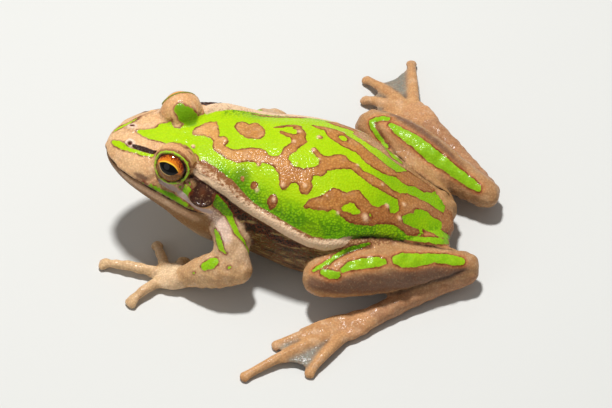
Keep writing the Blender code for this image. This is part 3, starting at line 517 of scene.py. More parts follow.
class Flesh(Enum):
    """The regions of the skin, each with the node names it takes in, its smoothing and its colour."""

    HEAD = (("head", "lower_jaw", "ear_drum", "eye"), 1.0, "E8BC8A")
    TORSO = (("torso",), 1.0, "C99A62")
    UPPER_ARM = (("upper_arm",), 1.0, "DAB68C")
    FOREARM = (("forearm",), 0.8, "D4AC7C")
    HAND = (("hand",), 0.45, "ECCCA2")
    FINGER = (("finger",), 0.16, "DFBC8E")
    THIGH = (("thigh",), 1.0, "BE9262")
    SHANK = (("shank",), 0.8, "C09466")
    TARSUS = (("tarsus",), 0.6, "B88A64")
    FOOT = (("foot",), 0.4, "CC9A6C")
    TOE = (("toe",), 0.14, "D0A06E")

    def __init__(self, nodes: tuple[str, ...], smoothing: float, colour: str) -> None:
        """Name the parts of a region's value.

        Args:
            nodes: how the names of its nodes start.
            smoothing: how far its joints are smoothed away, up to 1.
            colour: its ground colour in sRGB.
        """
        self.nodes = nodes
        self.smoothing = smoothing
        self.colour = colour


class Pattern(Enum):
    """The noise patterns of the skin: the length of their waves, their detail and their roughness."""

    DRIFT = (6.0, 2.0, 0.55)     # slow changes of tone
    CLOUD = (2.6, 2.0, 0.55)     # paler clouds on light skin
    PATCH = (1.8, 2.0, 0.55)     # stronger and weaker stretches of the rust line
    EDGE = (1.3, 4.0, 0.62)      # the wavering edges of the colours
    SPECKLE = (0.9, 4.0, 0.7)
    MOTTLE = (0.8, 4.0, 0.7)     # where the fold turns brown
    PORE = (0.5, 3.0, 0.55)


@dataclass(frozen=True)
class SkinFinish:
    """Moist frog skin: thin mucus over fine granules, so it gleams softly and shows small glints."""

    roughness: float = 0.44
    roughness_drift: float = 0.16
    gleam: float = 0.16          # share of the plain gloss under the mucus
    coat: float = 0.18
    coat_roughness: float = 0.13
    index: float = 1.38
    subsurface: float = 0.05
    subsurface_scale: float = 0.6
    granule: float = 0.52        # distance between granules
    grain: float = 0.34          # distance between the finer grains on them
    streak: tuple[float, float, float, float] = (0.22, 0.7, 1.0, 1.1)    # stretch, then length of waves
    edge_wave: float = 0.9       # how far the edges of the colours waver
    relief: float = 0.17         # height of the granules
    tan: str = "B58A5E"
    pale: str = "F0C890"
    cloud: str = "EFCFAE"
    pale_streak: str = "A88C54"
    dark_streak: str = "1E1A0C"
    sunny: str = "C8DC00"
    green_speck: str = "4E8200"
    rust: str = "6E3012"
    cream: str = "E2C09C"
    fold_brown: str = "8A5832"
    dark: str = "30160A"
    lilac: str = "B8A09A"
    wart: str = "F1C9A0"

    def material(self) -> bpy.types.Material:
        """Make the moist skin's material, which reads the skin's own attributes.

        Returns:
            The material.
        """
        made = bpy.data.materials.new("moist frog skin")
        made.use_nodes = True
        made.node_tree.nodes.clear()
        add = partial(add_node, made.node_tree)
        place = add(Kind.COORDINATES)["Object"]
        read = {name: add(Kind.ATTRIBUTE, attribute_name=name)
                for name in ("ground", "leaf", "marks", "strips", "relief")}
        value = {}
        for name, parts in (("marks", ("green", "dark", "tip")), ("strips", ("cream", "stripe", "brown")),
                            ("relief", ("grain", "speck", "crease"))):
            value.update(zip(parts, add(Kind.SPLIT, {0: read[name]["Vector"]})))
        for pattern in Pattern:
            length, detail, rough = pattern.value
            value[pattern] = add(Kind.NOISE, {"Vector": place, "Scale": 1 / (length * MM), "Detail": detail,
                                              "Roughness": rough})["Fac"]
        value["granules"] = add(Kind.CELLS, {"Vector": place, "Scale": 1 / (self.granule * MM),
                                             "Smoothness": 0.35}, feature="SMOOTH_F1")["Distance"]
        value["grains"] = add(Kind.CELLS, {"Vector": place, "Scale": 1 / (self.grain * MM)})["Distance"]
        value["light"] = add(Kind.LIGHTNESS, {0: read["ground"]["Color"]})[0]
        *stretch, length = self.streak
        stretched = add(Kind.MAPPING, {"Vector": place, "Scale": stretch})[0]
        value["streaks"] = add(Kind.NOISE, {"Vector": stretched, "Scale": 1 / (length * MM), "Detail": 4.0,
                                            "Roughness": 0.6})["Fac"]
        share = self.shares(add, value)
        colour = self.colour(add, share, read["ground"]["Color"], read["leaf"]["Color"])
        bump = self.bump(add, value)
        shine = add(Kind.MATH, {0: value[Pattern.PORE], 1: self.roughness_drift, 2: self.roughness},
                    operation="MULTIPLY_ADD")[0]
        # The dark lines lie in grooves, where the mucus shows less
        coat = add(Kind.MATH, {0: share["dark"], 1: -0.8 * self.coat, 2: self.coat},
                   operation="MULTIPLY_ADD")[0]
        shader = add(Kind.SHADER, {
            "Base Color": colour, "Roughness": shine, "Normal": bump, "IOR": self.index,
            "Specular IOR Level": self.gleam, "Coat Normal": bump, "Coat Weight": coat,
            "Coat Roughness": self.coat_roughness, "Subsurface Weight": self.subsurface,
            "Subsurface Scale": self.subsurface_scale * MM})[0]
        add(Kind.OUTPUT, {"Surface": shader})
        return made

    def shares(self, add: partial, value: dict) -> dict:
        """Work out how much of each colour shows.

        Args:
            add: adds a node to the material.
            value: the sockets of the attributes and patterns by name.

        Returns:
            A socket between 0 and 1 for each colour by name.
        """
        wave = add(Kind.MATH, {0: value[Pattern.EDGE], 1: self.edge_wave, 2: -0.5 * self.edge_wave},
                   operation="MULTIPLY_ADD")[0]
        edge = {name: add(Kind.MATH, {0: wave, 1: strength, 2: value[name]}, operation="MULTIPLY_ADD")[0]
                for name, strength in (("green", 1.0), ("dark", 0.6), ("cream", 0.5), ("stripe", 0.35))}
        brown = add(Kind.MATH, {0: value[Pattern.MOTTLE], 1: 2.4, 2: -1.2}, operation="MULTIPLY_ADD")[0]
        brown = add(Kind.MATH, {0: brown, 1: value["brown"]}, operation="ADD")[0]

        # Each rises from the first number to the second, and runs between the third and the last
        share = {name: add(Kind.RANGE, {0: source, 1: low, 2: high, 3: least, 4: most},
                           interpolation_type="SMOOTHSTEP")[0]
                 for name, source, low, high, least, most in (
                     ("tan", value[Pattern.DRIFT], 0.35, 0.65, 0.0, 0.22),
                     ("speckle", value[Pattern.SPECKLE], 0.5, 0.75, 0.0, 0.3),
                     ("pore", value[Pattern.PORE], 0.52, 0.75, 0.0, 0.2),
                     ("cloud", value[Pattern.CLOUD], 0.5, 0.68, 0.0, 0.26),
                     ("light", value["light"], 0.2, 0.45, 0.0, 1.0),
                     # The gaps between the granules darken: partly the skin's own net of fine lines, partly
                     # painted shade in the hollows
                     ("gap", value["granules"], 0.3, 0.58, 0.0, 0.6),
                     ("flank", value["grain"], 0.97, 1.0, 0.0, 1.0),
                     ("pale streak", value["streaks"], 0.54, 0.66, 0.0, 0.75),
                     ("dark streak", value["streaks"], 0.47, 0.36, 0.0, 0.7),
                     ("rust line", edge["green"], -0.58, -0.12, 0.0, 1.0),
                     ("patch", value[Pattern.PATCH], 0.42, 0.6, 0.5, 0.9),
                     ("leaf gap", value["granules"], 0.33, 0.62, 0.0, 1.0),
                     ("sunny", value[Pattern.DRIFT], 0.45, 0.7, 0.0, 0.15),
                     ("leaf pore", value[Pattern.PORE], 0.55, 0.75, 0.0, 0.2),
                     ("green", edge["green"], -0.07, 0.07, 0.0, 1.0),
                     ("dark", edge["dark"], -0.12, 0.14, 0.0, 1.0),
                     ("brown", brown, 0.15, 0.9, 0.0, 1.0),
                     ("cream", edge["cream"], -0.15, 0.12, 0.0, 1.0),
                     ("stripe", edge["stripe"], -0.1, 0.12, 0.0, 0.9),
                     ("tip", value["tip"], 0.0, 1.0, 0.0, 0.85))}
        for name, first, second in (("cloud", share["cloud"], share["light"]),
                                    ("gap", share["gap"], value["grain"]),
                                    ("pale streak", share["pale streak"], share["flank"]),
                                    ("dark streak", share["dark streak"], share["flank"]),
                                    ("rust line", share["rust line"], share["patch"]),
                                    ("leaf gap", share["leaf gap"], value["speck"]),
                                    ("crease", value["crease"], 0.75)):
            share[name] = add(Kind.MATH, {0: first, 1: second}, operation="MULTIPLY")[0]
        return share

    def colour(self, add: partial, share: dict, ground: bpy.types.NodeSocket,
               leaf: bpy.types.NodeSocket) -> bpy.types.NodeSocket:
        """Lay the skin's colours over one another.

        Args:
            add: adds a node to the material.
            share: how much of each colour shows, by name.
            ground: the copper ground.
            leaf: the green over it.

        Returns:
            The finished colour.
        """
        fold = add(Kind.MIX, {"Factor": share["brown"], 6: linear(self.cream), 7: linear(self.fold_brown)},
                   data_type="RGBA")[2]
        green = leaf
        for name, code in (("leaf gap", self.green_speck), ("sunny", self.sunny),
                           ("leaf pore", self.green_speck)):
            green = add(Kind.MIX, {"Factor": share[name], 6: green, 7: linear(code)}, data_type="RGBA")[2]

        # Copper first, with its streaks on the flank, its gaps between granules darkened partly as painted
        # shade, and a thin rust line round the green, then the green, and over both the dark lines, some of
        # them painted shadow, the strips, the pale wart tips and the painted shade of the creases
        colour = ground
        for name, top, way in (("tan", linear(self.tan), "MULTIPLY"), ("speckle", linear(self.rust), "MIX"),
                               ("pore", linear(self.pale), "MIX"), ("cloud", linear(self.cloud), "MIX"),
                               ("gap", linear(self.rust), "MIX"),
                               ("pale streak", linear(self.pale_streak), "MIX"),
                               ("dark streak", linear(self.dark_streak), "MIX"),
                               ("rust line", linear(self.rust), "MIX"), ("green", green, "MIX"),
                               ("dark", linear(self.dark), "MIX"), ("cream", fold, "MIX"),
                               ("stripe", linear(self.lilac), "MIX"), ("tip", linear(self.wart), "MIX"),
                               ("crease", linear(self.dark), "MULTIPLY")):
            colour = add(Kind.MIX, {"Factor": share[name], 6: colour, 7: top}, data_type="RGBA",
                         blend_type=way)[2]
        return colour

    def bump(self, add: partial, value: dict) -> bpy.types.NodeSocket:
        """Raise the granules, a finer grain and the skin between the pores.

        Args:
            add: adds a node to the material.
            value: the sockets of the attributes and patterns by name.

        Returns:
            The bent normal.
        """
        height = add(Kind.MATH, {0: 0.6, 1: value["granules"]}, operation="SUBTRACT")[0]
        height = add(Kind.MATH, {0: height, 1: value["grain"]}, operation="MULTIPLY")[0]
        for name, rise in (("grains", -0.14), (Pattern.PORE, 0.2)):
            height = add(Kind.MATH, {0: value[name], 1: rise, 2: height}, operation="MULTIPLY_ADD")[0]
        return add(Kind.BUMP, {"Height": height, "Strength": 1.0, "Distance": self.relief * MM})[0]


@dataclass(frozen=True)
class Palette:
    """The colours that are laid on the skin point by point, in sRGB."""

    copper_front_and_sheen: str = "DAA25C"
    copper_back_and_shade: str = "C88A46"
    side_rust: str = "9A5A30"
    rump_rim: str = "CC9E6E"
    flank: str = "5C5024"
    flank_low: str = "7A6238"
    fold_shadow: str = "120D06"
    belly: str = "D8C6A0"
    jaw: str = "8A673F"
    throat: str = "CDB893"
    lip: str = "D8B08A"
    lip_shadow: str = "4A3830"
    arm: str = "F4DACA"
    drum: str = "3A1E14"
    drum_middle: str = "5A341E"
    nostril_rim: str = "F8E0CC"
    nostril: str = "5E2A18"
    brow: str = "E2AE78"
    web: str = "7F8A84"
    shank: str = "775A48"
    leg_edge: str = "D2803E"
    lime: str = "A8CC00"
    side_green: str = "88BA00"
    deep_green: str = "68A000"
    rump_green: str = "84B400"
    cheek_green: str = "6A9E04"
    limb_green: str = "8CBC14"
    brow_green: str = "6C9806"
    hollow_shade_green: str = "466600"
    lids: str = "A2CC30"
    right_lids: str = "8E8A3C"


@dataclass
class Wash:
    """The colours of the skin's points, laid over one another."""

    colours: np.ndarray

    def lay(self, code: str, share: np.ndarray) -> None:
        """Lay a colour over the others.

        Args:
            code: its sRGB hex digits.
            share: how much of it each point takes, cut to between 0 and 1.
        """
        share = np.clip(share, 0.0, 1.0)[:, None]
        self.colours = self.colours + (np.array(linear(code)) - self.colours) * share


@dataclass(frozen=True)
class Relief:
    """The forms pressed into the skin, each by the distance from the line or place it follows."""

    # Across the fold, with places above it more than 0: its ridge and grooves, and the wrinkles below
    fold: tuple[Wave, ...] = (Wave(0.48, 0.25, 1.2), Wave(-0.36, -1.75, 0.6), Wave(-0.10, 1.9, 0.7))
    wrinkles: tuple[Wave, ...] = (Wave(-0.14, -3.1, 0.35), Wave(-0.10, -4.3, 0.35),
                                  Wave(-0.10, -5.6, 0.35))
    wrinkle_sway: float = 0.35
    wrinkle_turn: float = 0.8
    wrinkle_start: float = -9.0
    mouth: tuple[Wave, ...] = (Wave(-0.42, 0.0, 0.24), Wave(0.16, 0.75, 0.5), Wave(0.08, -0.8, 0.45))
    drum: tuple[Wave | Slope, ...] = (Wave(0.14, 2.85, 0.38), Slope(-0.22, 2.75, 2.2), Slope(0.12, 1.3, 0.3))
    nose: Wave = Wave(0.42, 0.0, 0.95)
    nostril: Slope = Slope(-0.72, 0.68, 0.25)
    copper: Slope = Slope(0.09, -0.2, 0.25)
    seam: Slope = Slope(-0.3, -0.7, 0.3)
    web: float = -0.1
    wart: float = 0.34
    granules: int = 260
    granule_radius: tuple[float, float] = (0.35, 0.75)
    granule_height: tuple[float, float] = (0.06, 0.17)
    limb_waves: int = 14
    limb_wave_turn: tuple[float, float] = (1.6, 3.4)
    limb_wave: float = 0.028

    # Out from the eyeball, by shares of the lids' opening: both lids, and what the upper one adds
    lids: tuple[Wave | Slope, ...] = (Slope(0.92, 0.95, 1.02), Wave(0.20, 1.07, 0.045),
                                      Slope(0.10, 1.12, 1.25))
    upper_lid: tuple[Wave | Slope, ...] = (Slope(0.1, 0.95, 1.02), Wave(0.06, 1.07, 0.045),
                                           Slope(0.30, 1.12, 1.25))


@dataclass
class Skin:
    """The one skin over head, body and limbs, closed over the joints of the solids."""

    stance: Stance
    marks: Markings
    offset: np.ndarray
    eyes: dict[Side, tuple[Vector, Vector]]
    finish: SkinFinish = field(default_factory=SkinFinish)
    palette: Palette = field(default_factory=Palette)
    relief: Relief = field(default_factory=Relief)
    swell: float = 0.22          # how far the solids swell so that their joints close
    round_swell: float = 0.12    # and how much more the eyes and ear drums do
    voxel: float = 0.46
    smoothing: int = 20
    merge: float = 0.002
    most_faces: int = 192000     # triangles of the finished skin
    floor: float = 0.02          # the lowest that a point may lie
    head_zone: tuple[Place, float] = ((-26.0, -1.5, 22.0), 16.5)
    eye_zones: tuple[float, float] = (7.6, 5.2)
    nostril_zone: float = 2.4
    ear_zone: float = 4.6
    eye_radius: float = 3.9
    lid_root: float = 0.7        # how far inside the eyeball's surface the lids start
    lid_reach: float = 6.63      # how far from the eye's centre they shape the skin
    lids_at: dict = field(default_factory=lambda: {Side.LEFT: (65.0, 56.0), Side.RIGHT: (62.0, 47.0)})
    lid_tilt: float = 14.0
    lid_lead: float = 0.1        # how far the opening lies ahead of the eye's axis

    def build(self, nodes: dict) -> bpy.types.Object:
        """Args:
            nodes: the solids by name.

        Returns:
            The finished skin.
        """
        skin = self.cast(nodes)
        self.refine(skin)
        self.load(skin)
        self.label(nodes)
        self.relax()
        self.sculpt()
        self.paint(skin)
        self.store(skin)
        skin.data.materials.clear()
        skin.data.materials.append(self.finish.material())
        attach(skin, "root")
        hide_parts(*[name for name in nodes if not name.startswith("eye")])
        return skin

    def cast(self, nodes: dict) -> bpy.types.Object:
        """Swell the solids, join them and cast one closed surface round them.

        Args:
            nodes: the solids by name.

        Returns:
            The closed surface, in millimetres in the frame of the driving sizes.
        """
        whole = bmesh.new()
        for name, node in nodes.items():
            part = bmesh.new()
            part.from_mesh(node.data)
            bmesh.ops.scale(part, vec=(1 / MM, 1 / MM, 1 / MM), verts=part.verts)
            bmesh.ops.translate(part, vec=self.offset, verts=part.verts)
            bmesh.ops.remove_doubles(part, verts=part.verts, dist=self.merge)
            part.normal_update()
            swell = self.swell + (self.round_swell if name.startswith(("eye", "ear")) else 0.0)
            moves = [(vertex, vertex.normal * swell) for vertex in part.verts]
            for vertex, move in moves:
                vertex.co += move
            mesh = bpy.data.meshes.new("part")
            part.to_mesh(mesh)
            part.free()
            whole.from_mesh(mesh)
            bpy.data.meshes.remove(mesh)
        mesh = bpy.data.meshes.new("skin")
        whole.to_mesh(mesh)
        whole.free()
        skin = bpy.data.objects.new("skin", mesh)
        bpy.context.scene.collection.objects.link(skin)
        remesh = skin.modifiers.new("cast", "REMESH")
        remesh.mode = "VOXEL"
        remesh.voxel_size = self.voxel
        self.bake(skin)
        return skin

    def bake(self, skin: bpy.types.Object) -> None:
        """Turn the skin's modifiers into its mesh.

        Args:
            skin: the skin, whose old mesh is removed.
        """
        graph = bpy.context.evaluated_depsgraph_get()
        mesh = bpy.data.meshes.new_from_object(skin.evaluated_get(graph), preserve_all_data_layers=True,
                                               depsgraph=graph)
        old = skin.data
        skin.modifiers.clear()
        skin.data = mesh
        bpy.data.meshes.remove(old)

    def refine(self, skin: bpy.types.Object) -> None:
        """Give the head, and most of all the eyes, finer faces.

        Args:
            skin: the skin as it was cast.
        """
        shape = bmesh.new()
        shape.from_mesh(skin.data)
        self.keep_outer(shape)
        eyes = [centre for centre, _ in self.eyes.values()]
        spots = [(centre, self.eye_zones[0]) for centre in eyes]
        for side in Side:
            spots.append((self.stance.placed(self.marks.nostril, side), self.nostril_zone))
            spots.append((self.stance.placed(self.marks.ear, side), self.ear_zone))
        head, reach = self.head_zone
        for zones in ([(Vector(head), reach)], spots, [(centre, self.eye_zones[1]) for centre in eyes]):
            edges = [edge for edge in shape.edges if self.within(edge, zones)]
            bmesh.ops.subdivide_edges(shape, edges=edges, cuts=1, use_grid_fill=True, smooth=0.6)
        bmesh.ops.triangulate(shape, faces=[face for face in shape.faces if len(face.verts) > 4])
        shape.to_mesh(skin.data)
        shape.free()

    def keep_outer(self, shape: bmesh.types.BMesh) -> None:
        """Keep the largest closed surface and drop any pocket left inside it.

        Args:
            shape: the cast surface.
        """
        unseen = set(shape.verts)
        pieces = []
        while unseen:
            front = [unseen.pop()]
            piece = list(front)
            while front:
                vertex = front.pop()
                for edge in vertex.link_edges:
                    other = edge.other_vert(vertex)
                    if other in unseen:
                        unseen.remove(other)
                        front.append(other)
                        piece.append(other)
            pieces.append(piece)
        pieces.sort(key=len)
        for piece in pieces[:-1]:
            bmesh.ops.delete(shape, geom=piece, context="VERTS")

    def within(self, edge: bmesh.types.BMEdge, zones: list[tuple[Vector, float]]) -> bool:
        """Tell whether both ends of an edge lie in one zone.

        Args:
            edge: an edge of the skin.
            zones: the centre and the reach of each zone.

        Returns:
            True if one zone holds both.
        """
        return any(all((vertex.co - centre).length < reach for vertex in edge.verts)
                   for centre, reach in zones)

    def load(self, skin: bpy.types.Object) -> None:
        """Read the skin's points, its edges both ways and its triangles.

        Args:
            skin: the refined skin.
        """
        mesh = skin.data
        mesh.calc_loop_triangles()
        points = np.zeros(len(mesh.vertices) * 3)
        mesh.vertices.foreach_get("co", points)
        self.points = points.reshape(-1, 3)
        edges = np.zeros(len(mesh.edges) * 2, int)
        mesh.edges.foreach_get("vertices", edges)
        first, second = edges.reshape(-1, 2).T
        self.heads = np.concatenate((first, second))
        self.tails = np.concatenate((second, first))
        self.degree = np.bincount(self.heads, minlength=len(self.points)).astype(float)
        triangles = np.zeros(len(mesh.loop_triangles) * 3, int)
        mesh.loop_triangles.foreach_get("vertices", triangles)
        self.triangles = triangles.reshape(-1, 3)

    def label(self, nodes: dict) -> None:
        """Find the solid and the region of flesh under each point of the skin.

        Args:
            nodes: the solids by name.
        """
        corners, faces, owner = [], [], []
        names = list(nodes)
        for number, name in enumerate(names):
            start = len(corners)
            mesh = nodes[name].data
            corners.extend(vertex.co / MM + Vector(self.offset) for vertex in mesh.vertices)
            for face in mesh.polygons:
                faces.append([start + corner for corner in face.vertices])
                owner.append(number)
        tree = BVHTree.FromPolygons(corners, faces)
        found = np.array([owner[tree.find_nearest(Vector(point))[2]] for point in self.points])
        regions = [next(region for region in Flesh if name.startswith(region.nodes)) for name in names]
        self.node = np.array(names)[found]
        self.region = np.array([list(Flesh).index(region) for region in regions])[found]
        self.body = self.on(Flesh.HEAD, Flesh.TORSO)

    def on(self, *regions: Flesh) -> np.ndarray:
        """Return which points lie in some regions of flesh."""
        return np.isin(self.region, [list(Flesh).index(region) for region in regions])

    def averaged(self, values: np.ndarray) -> np.ndarray:
        """Take the mean of each point's neighbours.

        Args:
            values: a number or a row of numbers for each point.

        Returns:
            The means, in the same form.
        """
        if values.ndim == 1:
            return np.bincount(self.heads, values[self.tails], len(values)) / self.degree
        return np.stack([self.averaged(column) for column in values.T], axis=1)

    def blurred(self, values: np.ndarray, rounds: int) -> np.ndarray:
        """Spread values over the surface.

        Args:
            values: a number or a row of numbers for each point.
            rounds: how many edges far they spread.

        Returns:
            The spread values, in the same form.
        """
        for _ in range(rounds):
            values = 0.5 * values + 0.5 * self.averaged(values)
        return values

    def normals(self) -> np.ndarray:
        """Work out the direction outward at each point.

        Returns:
            One unit vector a row.
        """
        a, b, c = (self.points[self.triangles[:, corner]] for corner in range(3))
        flat = np.cross(b - a, c - a)
        summed = np.stack([
            sum(np.bincount(self.triangles[:, corner], flat[:, axis], len(self.points))
                for corner in range(3)) for axis in range(3)], axis=1)
        return summed / np.maximum(np.linalg.norm(summed, axis=1), 1e-12)[:, None]

    def relax(self) -> None:
        """Smooth away the joints of the solids, little on the digits, and undo the swelling."""
        weight = np.array([region.smoothing for region in Flesh])[self.region]
        weight = self.blurred(weight, 8)[:, None]
        for _ in range(self.smoothing):
            self.points = self.points + 0.5 * weight * (self.averaged(self.points) - self.points)
        shrunk = 0.12 * weight       # what the smoothing itself has taken off
        self.points = self.points - self.normals() * (self.swell - shrunk)

    def push(self, amount: np.ndarray) -> None:
        """Move each point outward by its own amount."""
        self.points = self.points + self.normals() * amount[:, None]

    def straighten(self) -> None:
        """Find where the points lie on the straight body."""
        self.straight = self.stance.straightened(self.points)

    def sculpt(self) -> None:
        """Shape folds, mouth, ears, nostrils, lids, warts and wrinkles by moving the points."""
        self.straighten()
        rng = np.random.default_rng(7)
        raised = self.relief.copper.at(self.copper_field()) * fade(self.straight[:, 2], 12, 15)
        self.push(np.where(self.body, raised, 0.0))
        for side in Side:
            self.shape_side(side)
        self.shape_warts(rng)
        self.shape_limbs(rng)
        self.web = self.web_share()
        self.push(self.relief.web * self.web)
        self.lids = np.full(len(self.points), -FAR)
        for side in Side:
            self.shape_eye(side)
        self.points[:, 2] = np.maximum(self.points[:, 2], self.floor)

    def crest_offset(self, points: np.ndarray, chain: Chain) -> tuple[np.ndarray, np.ndarray]:
        """Measure places against a crest that runs along the body.

        Args:
            points: one point a row, in the frame of the chain.
            chain: the crest's places.

        Returns:
            The distance from the crest, with points below it less than 0, and the share along it.
        """
        best = np.full(len(points), 1e3)
        below = np.zeros(len(points), bool)
        along = np.zeros(len(points))
        for index, (first, second) in enumerate(zip(chain, chain[1:])):
            shares, step = segment_shares(points, np.array(first[:3]), np.array(second[:3]))
            away = np.linalg.norm(step, axis=1)
            rise = step[:, 2] - step[:, 1] * math.copysign(1.0, first[1])
            nearer = away < best
            best = np.where(nearer, away, best)
            below = np.where(nearer, rise < 0, below)
            along = np.where(nearer, (index + shares) / (len(chain) - 1), along)
        return np.where(below, -best, best), along

    def away_from(self, place: Place, side: Side, stretch: Place = (1.0, 1.0, 1.0)) -> np.ndarray:
        """Measure each point's distance from a place of the straight body.

        Args:
            place: the place on the right side.
            side: the side asked for.
            stretch: how much each direction counts.

        Returns:
            The distances.
        """
        return np.linalg.norm((self.straight - np.array(on_side((place,), side))) * stretch, axis=1)

    def shape_side(self, side: Side) -> None:
        """Shape the fold, mouth, ear and nostril of one side.

        Args:
            side: the side.
        """
        marks, relief, along = self.marks, self.relief, self.straight[:, 0]
        fold, share = self.crest_offset(self.straight, on_side(marks.fold, side))
        sway = relief.wrinkle_sway * np.sin(along * relief.wrinkle_turn)
        ridge = total(relief.fold, fold)
        ridge += total(relief.wrinkles, fold + sway) * (along > relief.wrinkle_start)
        amount = np.where(self.body, ridge * fade(share, 0.0, 0.06) * fade(share, 1.0, 0.8), 0.0)

        mouth, gape = self.crest_offset(self.straight, on_side(marks.mouth, side))
        amount += np.where(self.on(Flesh.HEAD), total(relief.mouth, mouth) * fade(gape, 1.0, 0.93), 0.0)
        amount += np.where(self.body, total(relief.drum, self.away_from(marks.ear, side)), 0.0)

        inner = self.away_from(tuple(np.array(marks.nostril) + (0.0, -0.45, 0.1)), side)
        nose = relief.nose.at(inner) + relief.nostril.at(self.away_from(marks.nostril, side, (0.85, 1, 1)))
        amount += np.where(self.body, nose, 0.0)
        self.push(amount)

    def shape_warts(self, rng: np.random.Generator) -> None:
        """Raise the warts of the back and the granules of the flanks.

        Args:
            rng: draws the granules' places and sizes.
        """
        relief, straight = self.relief, self.straight
        amount = np.zeros(len(straight))
        self.tips = np.zeros(len(straight))
        upper = self.body & (straight[:, 2] > 12)
        for along, across, radius in self.marks.wart_tips:
            away = np.hypot(straight[:, 0] - along, straight[:, 1] - across)
            amount += relief.wart * np.exp(-(away / (radius + 0.35)) ** 2) * upper
            self.tips = np.maximum(self.tips, np.exp(-(away / (radius * 1.1)) ** 2) * upper)
        clear = np.min([self.away_from(self.marks.eye, side) for side in Side], axis=0) >= 6.5
        grown = np.argwhere(self.body & (straight[:, 2] > 2.0))[:, 0]
        for index in rng.choice(grown, relief.granules, replace=False):
            if not clear[index]:
                continue
            radius = rng.uniform(*relief.granule_radius)
            near = np.abs(straight[:, 0] - straight[index, 0]) < 2.4
            away = np.linalg.norm(straight[near] - straight[index], axis=1)
            height = rng.uniform(*relief.granule_height)
            amount[near] += height * np.exp(-(away / radius) ** 2) * self.body[near]
        self.push(amount)

    def shape_limbs(self, rng: np.random.Generator) -> None:
        """Wrinkle the skin of the limbs and press in the creases where they fold on the body.

        Args:
            rng: draws the wrinkles' directions and lengths.
        """
        relief = self.relief
        wave = np.zeros(len(self.points))
        for _ in range(relief.limb_waves):
            direction = rng.normal(size=3)
            direction /= np.linalg.norm(direction)
            turn = rng.uniform(*relief.limb_wave_turn)
            wave += np.sin(self.points @ direction * turn + rng.uniform(0, math.tau))
        self.push(relief.limb_wave * wave * ~(self.body | self.on(Flesh.TOE)))
        for chain in self.marks.seam:
            self.push(relief.seam.at(chain_field(self.points, chain)))

    def shape_eye(self, side: Side) -> None:
        """Open the skin over one eye between two swollen lids.

        Args:
            side: the eye's side.
        """
        centre, axis = (np.array(item) for item in self.eyes[side])
        level, up = (np.array(item) for item in iris_frame(Vector(axis)))
        axis = (axis - self.lid_lead * level) / math.hypot(1, self.lid_lead)
        level = np.cross(up, axis) * np.sign(np.cross(up, axis) @ level)
        gap = self.points - centre
        reach = np.linalg.norm(gap, axis=1)
        direction = gap / reach[:, None]
        tilt = math.radians(self.lid_tilt)
        across = direction @ (level * math.cos(tilt) - up * math.sin(tilt))
        rise = direction @ (level * math.sin(tilt) + up * math.cos(tilt))
        angle = np.arccos(np.clip(direction @ axis, -1, 1))
        spread = np.maximum(np.hypot(across, rise), 1e-6)
        width, tall = (math.radians(degrees) for degrees in self.lids_at[side])
        opening = angle * np.hypot(across / spread / width, rise / spread / tall)
        wanted = self.eye_radius - self.lid_root + total(self.relief.lids, opening)
        wanted += fade(rise, -0.1, 0.5) * total(self.relief.upper_lid, opening)
        near = reach < self.lid_reach
        share = fade(opening, 1.5, 1.16) * near
        shaped = centre + direction * (reach + (wanted - reach) * share)[:, None]
        self.lids = np.minimum(self.lids, np.where(near, opening, -FAR))
        self.points = np.where((share > 0)[:, None], shaped, self.points)

    def web_share(self) -> np.ndarray:
        """Tell the webs of the feet from the toes by how thick the flesh is.

        Returns:
            1 on the webs and 0 elsewhere.
        """
        tree = BVHTree.FromPolygons(self.points.tolist(), self.triangles.tolist())
        normal = self.normals()
        thickness = np.full(len(self.points), -FAR)
        for index in np.argwhere(self.on(Flesh.TOE))[:, 0]:
            inward = Vector(-normal[index])
            reach = tree.ray_cast(Vector(self.points[index]) + 0.05 * inward, inward)[3]
            if reach is not None:
                thickness[index] = reach
        return self.blurred(fade(thickness, 1.5, 1.05), 2)

    def copper_field(self) -> np.ndarray:
        """Measure how deep each point lies inside the copper marks of the back.

        Returns:
            The depth, less than 0 outside the marks.
        """
        flat = self.straight[:, :2]
        copper = np.max([outline_field(flat, outline) for outline in self.marks.copper], axis=0)
        for along, across, radius in self.marks.dots:
            copper = np.maximum(copper, radius - np.hypot(flat[:, 0] - along, flat[:, 1] - across))
        for island in self.marks.islands:
            copper = np.minimum(copper, -outline_field(flat, island))
        return copper

    def deepest(self, points: np.ndarray, chains: list[Chain], where: np.ndarray | bool = True) -> np.ndarray:
        """Measure how deep points lie inside the nearest of some strips.

        Args:
            points: one point a row, in the frame of the chains.
            chains: the strips.
            where: which points may lie inside them.

        Returns:
            The depth, less than 0 outside the strips.
        """
        return np.where(where, np.max([chain_field(points, chain) for chain in chains], axis=0), FAR)

    def both(self, chain: Chain) -> list[Chain]:
        """Return a chain of the right side on both sides."""
        return [on_side(chain, side) for side in Side]

    def fold_line(self, axis: int) -> np.ndarray:
        """Find the fold, or the hem past the groin, at each point's place along the body.

        Args:
            axis: 1 for its place across, 2 for its height.

        Returns:
            The fold's place for each point.
        """
        hem = self.marks.fold + self.marks.hem
        return np.interp(self.straight[:, 0], [item[0] for item in hem], [item[axis] for item in hem])

    def paint(self, skin: bpy.types.Object) -> None:
        """Lay out the colours and the relief of each region as attributes of the skin.

        Args:
            skin: the skin that takes them.
        """
        self.straighten()
        green, dark = self.green_depth(), self.dark_and_shade_depth()
        cream, brown = self.fold_depth()
        stripe = self.deepest(self.straight, self.both(self.marks.lip_stripe),
                              self.body | self.on(Flesh.UPPER_ARM)) - 0.05
        self.write(skin, "marks", np.stack((green, dark, self.tips), axis=1))
        self.write(skin, "strips", np.stack((cream, stripe, brown), axis=1))
        self.write(skin, "ground", self.ground_colour(green))
        self.write(skin, "leaf", self.leaf_colour())
        # The relief holds the granules' strength, the specks and the painted shade of the creases
        self.write(skin, "relief", np.stack((*self.granule_share(), self.crease_shade()), axis=1))

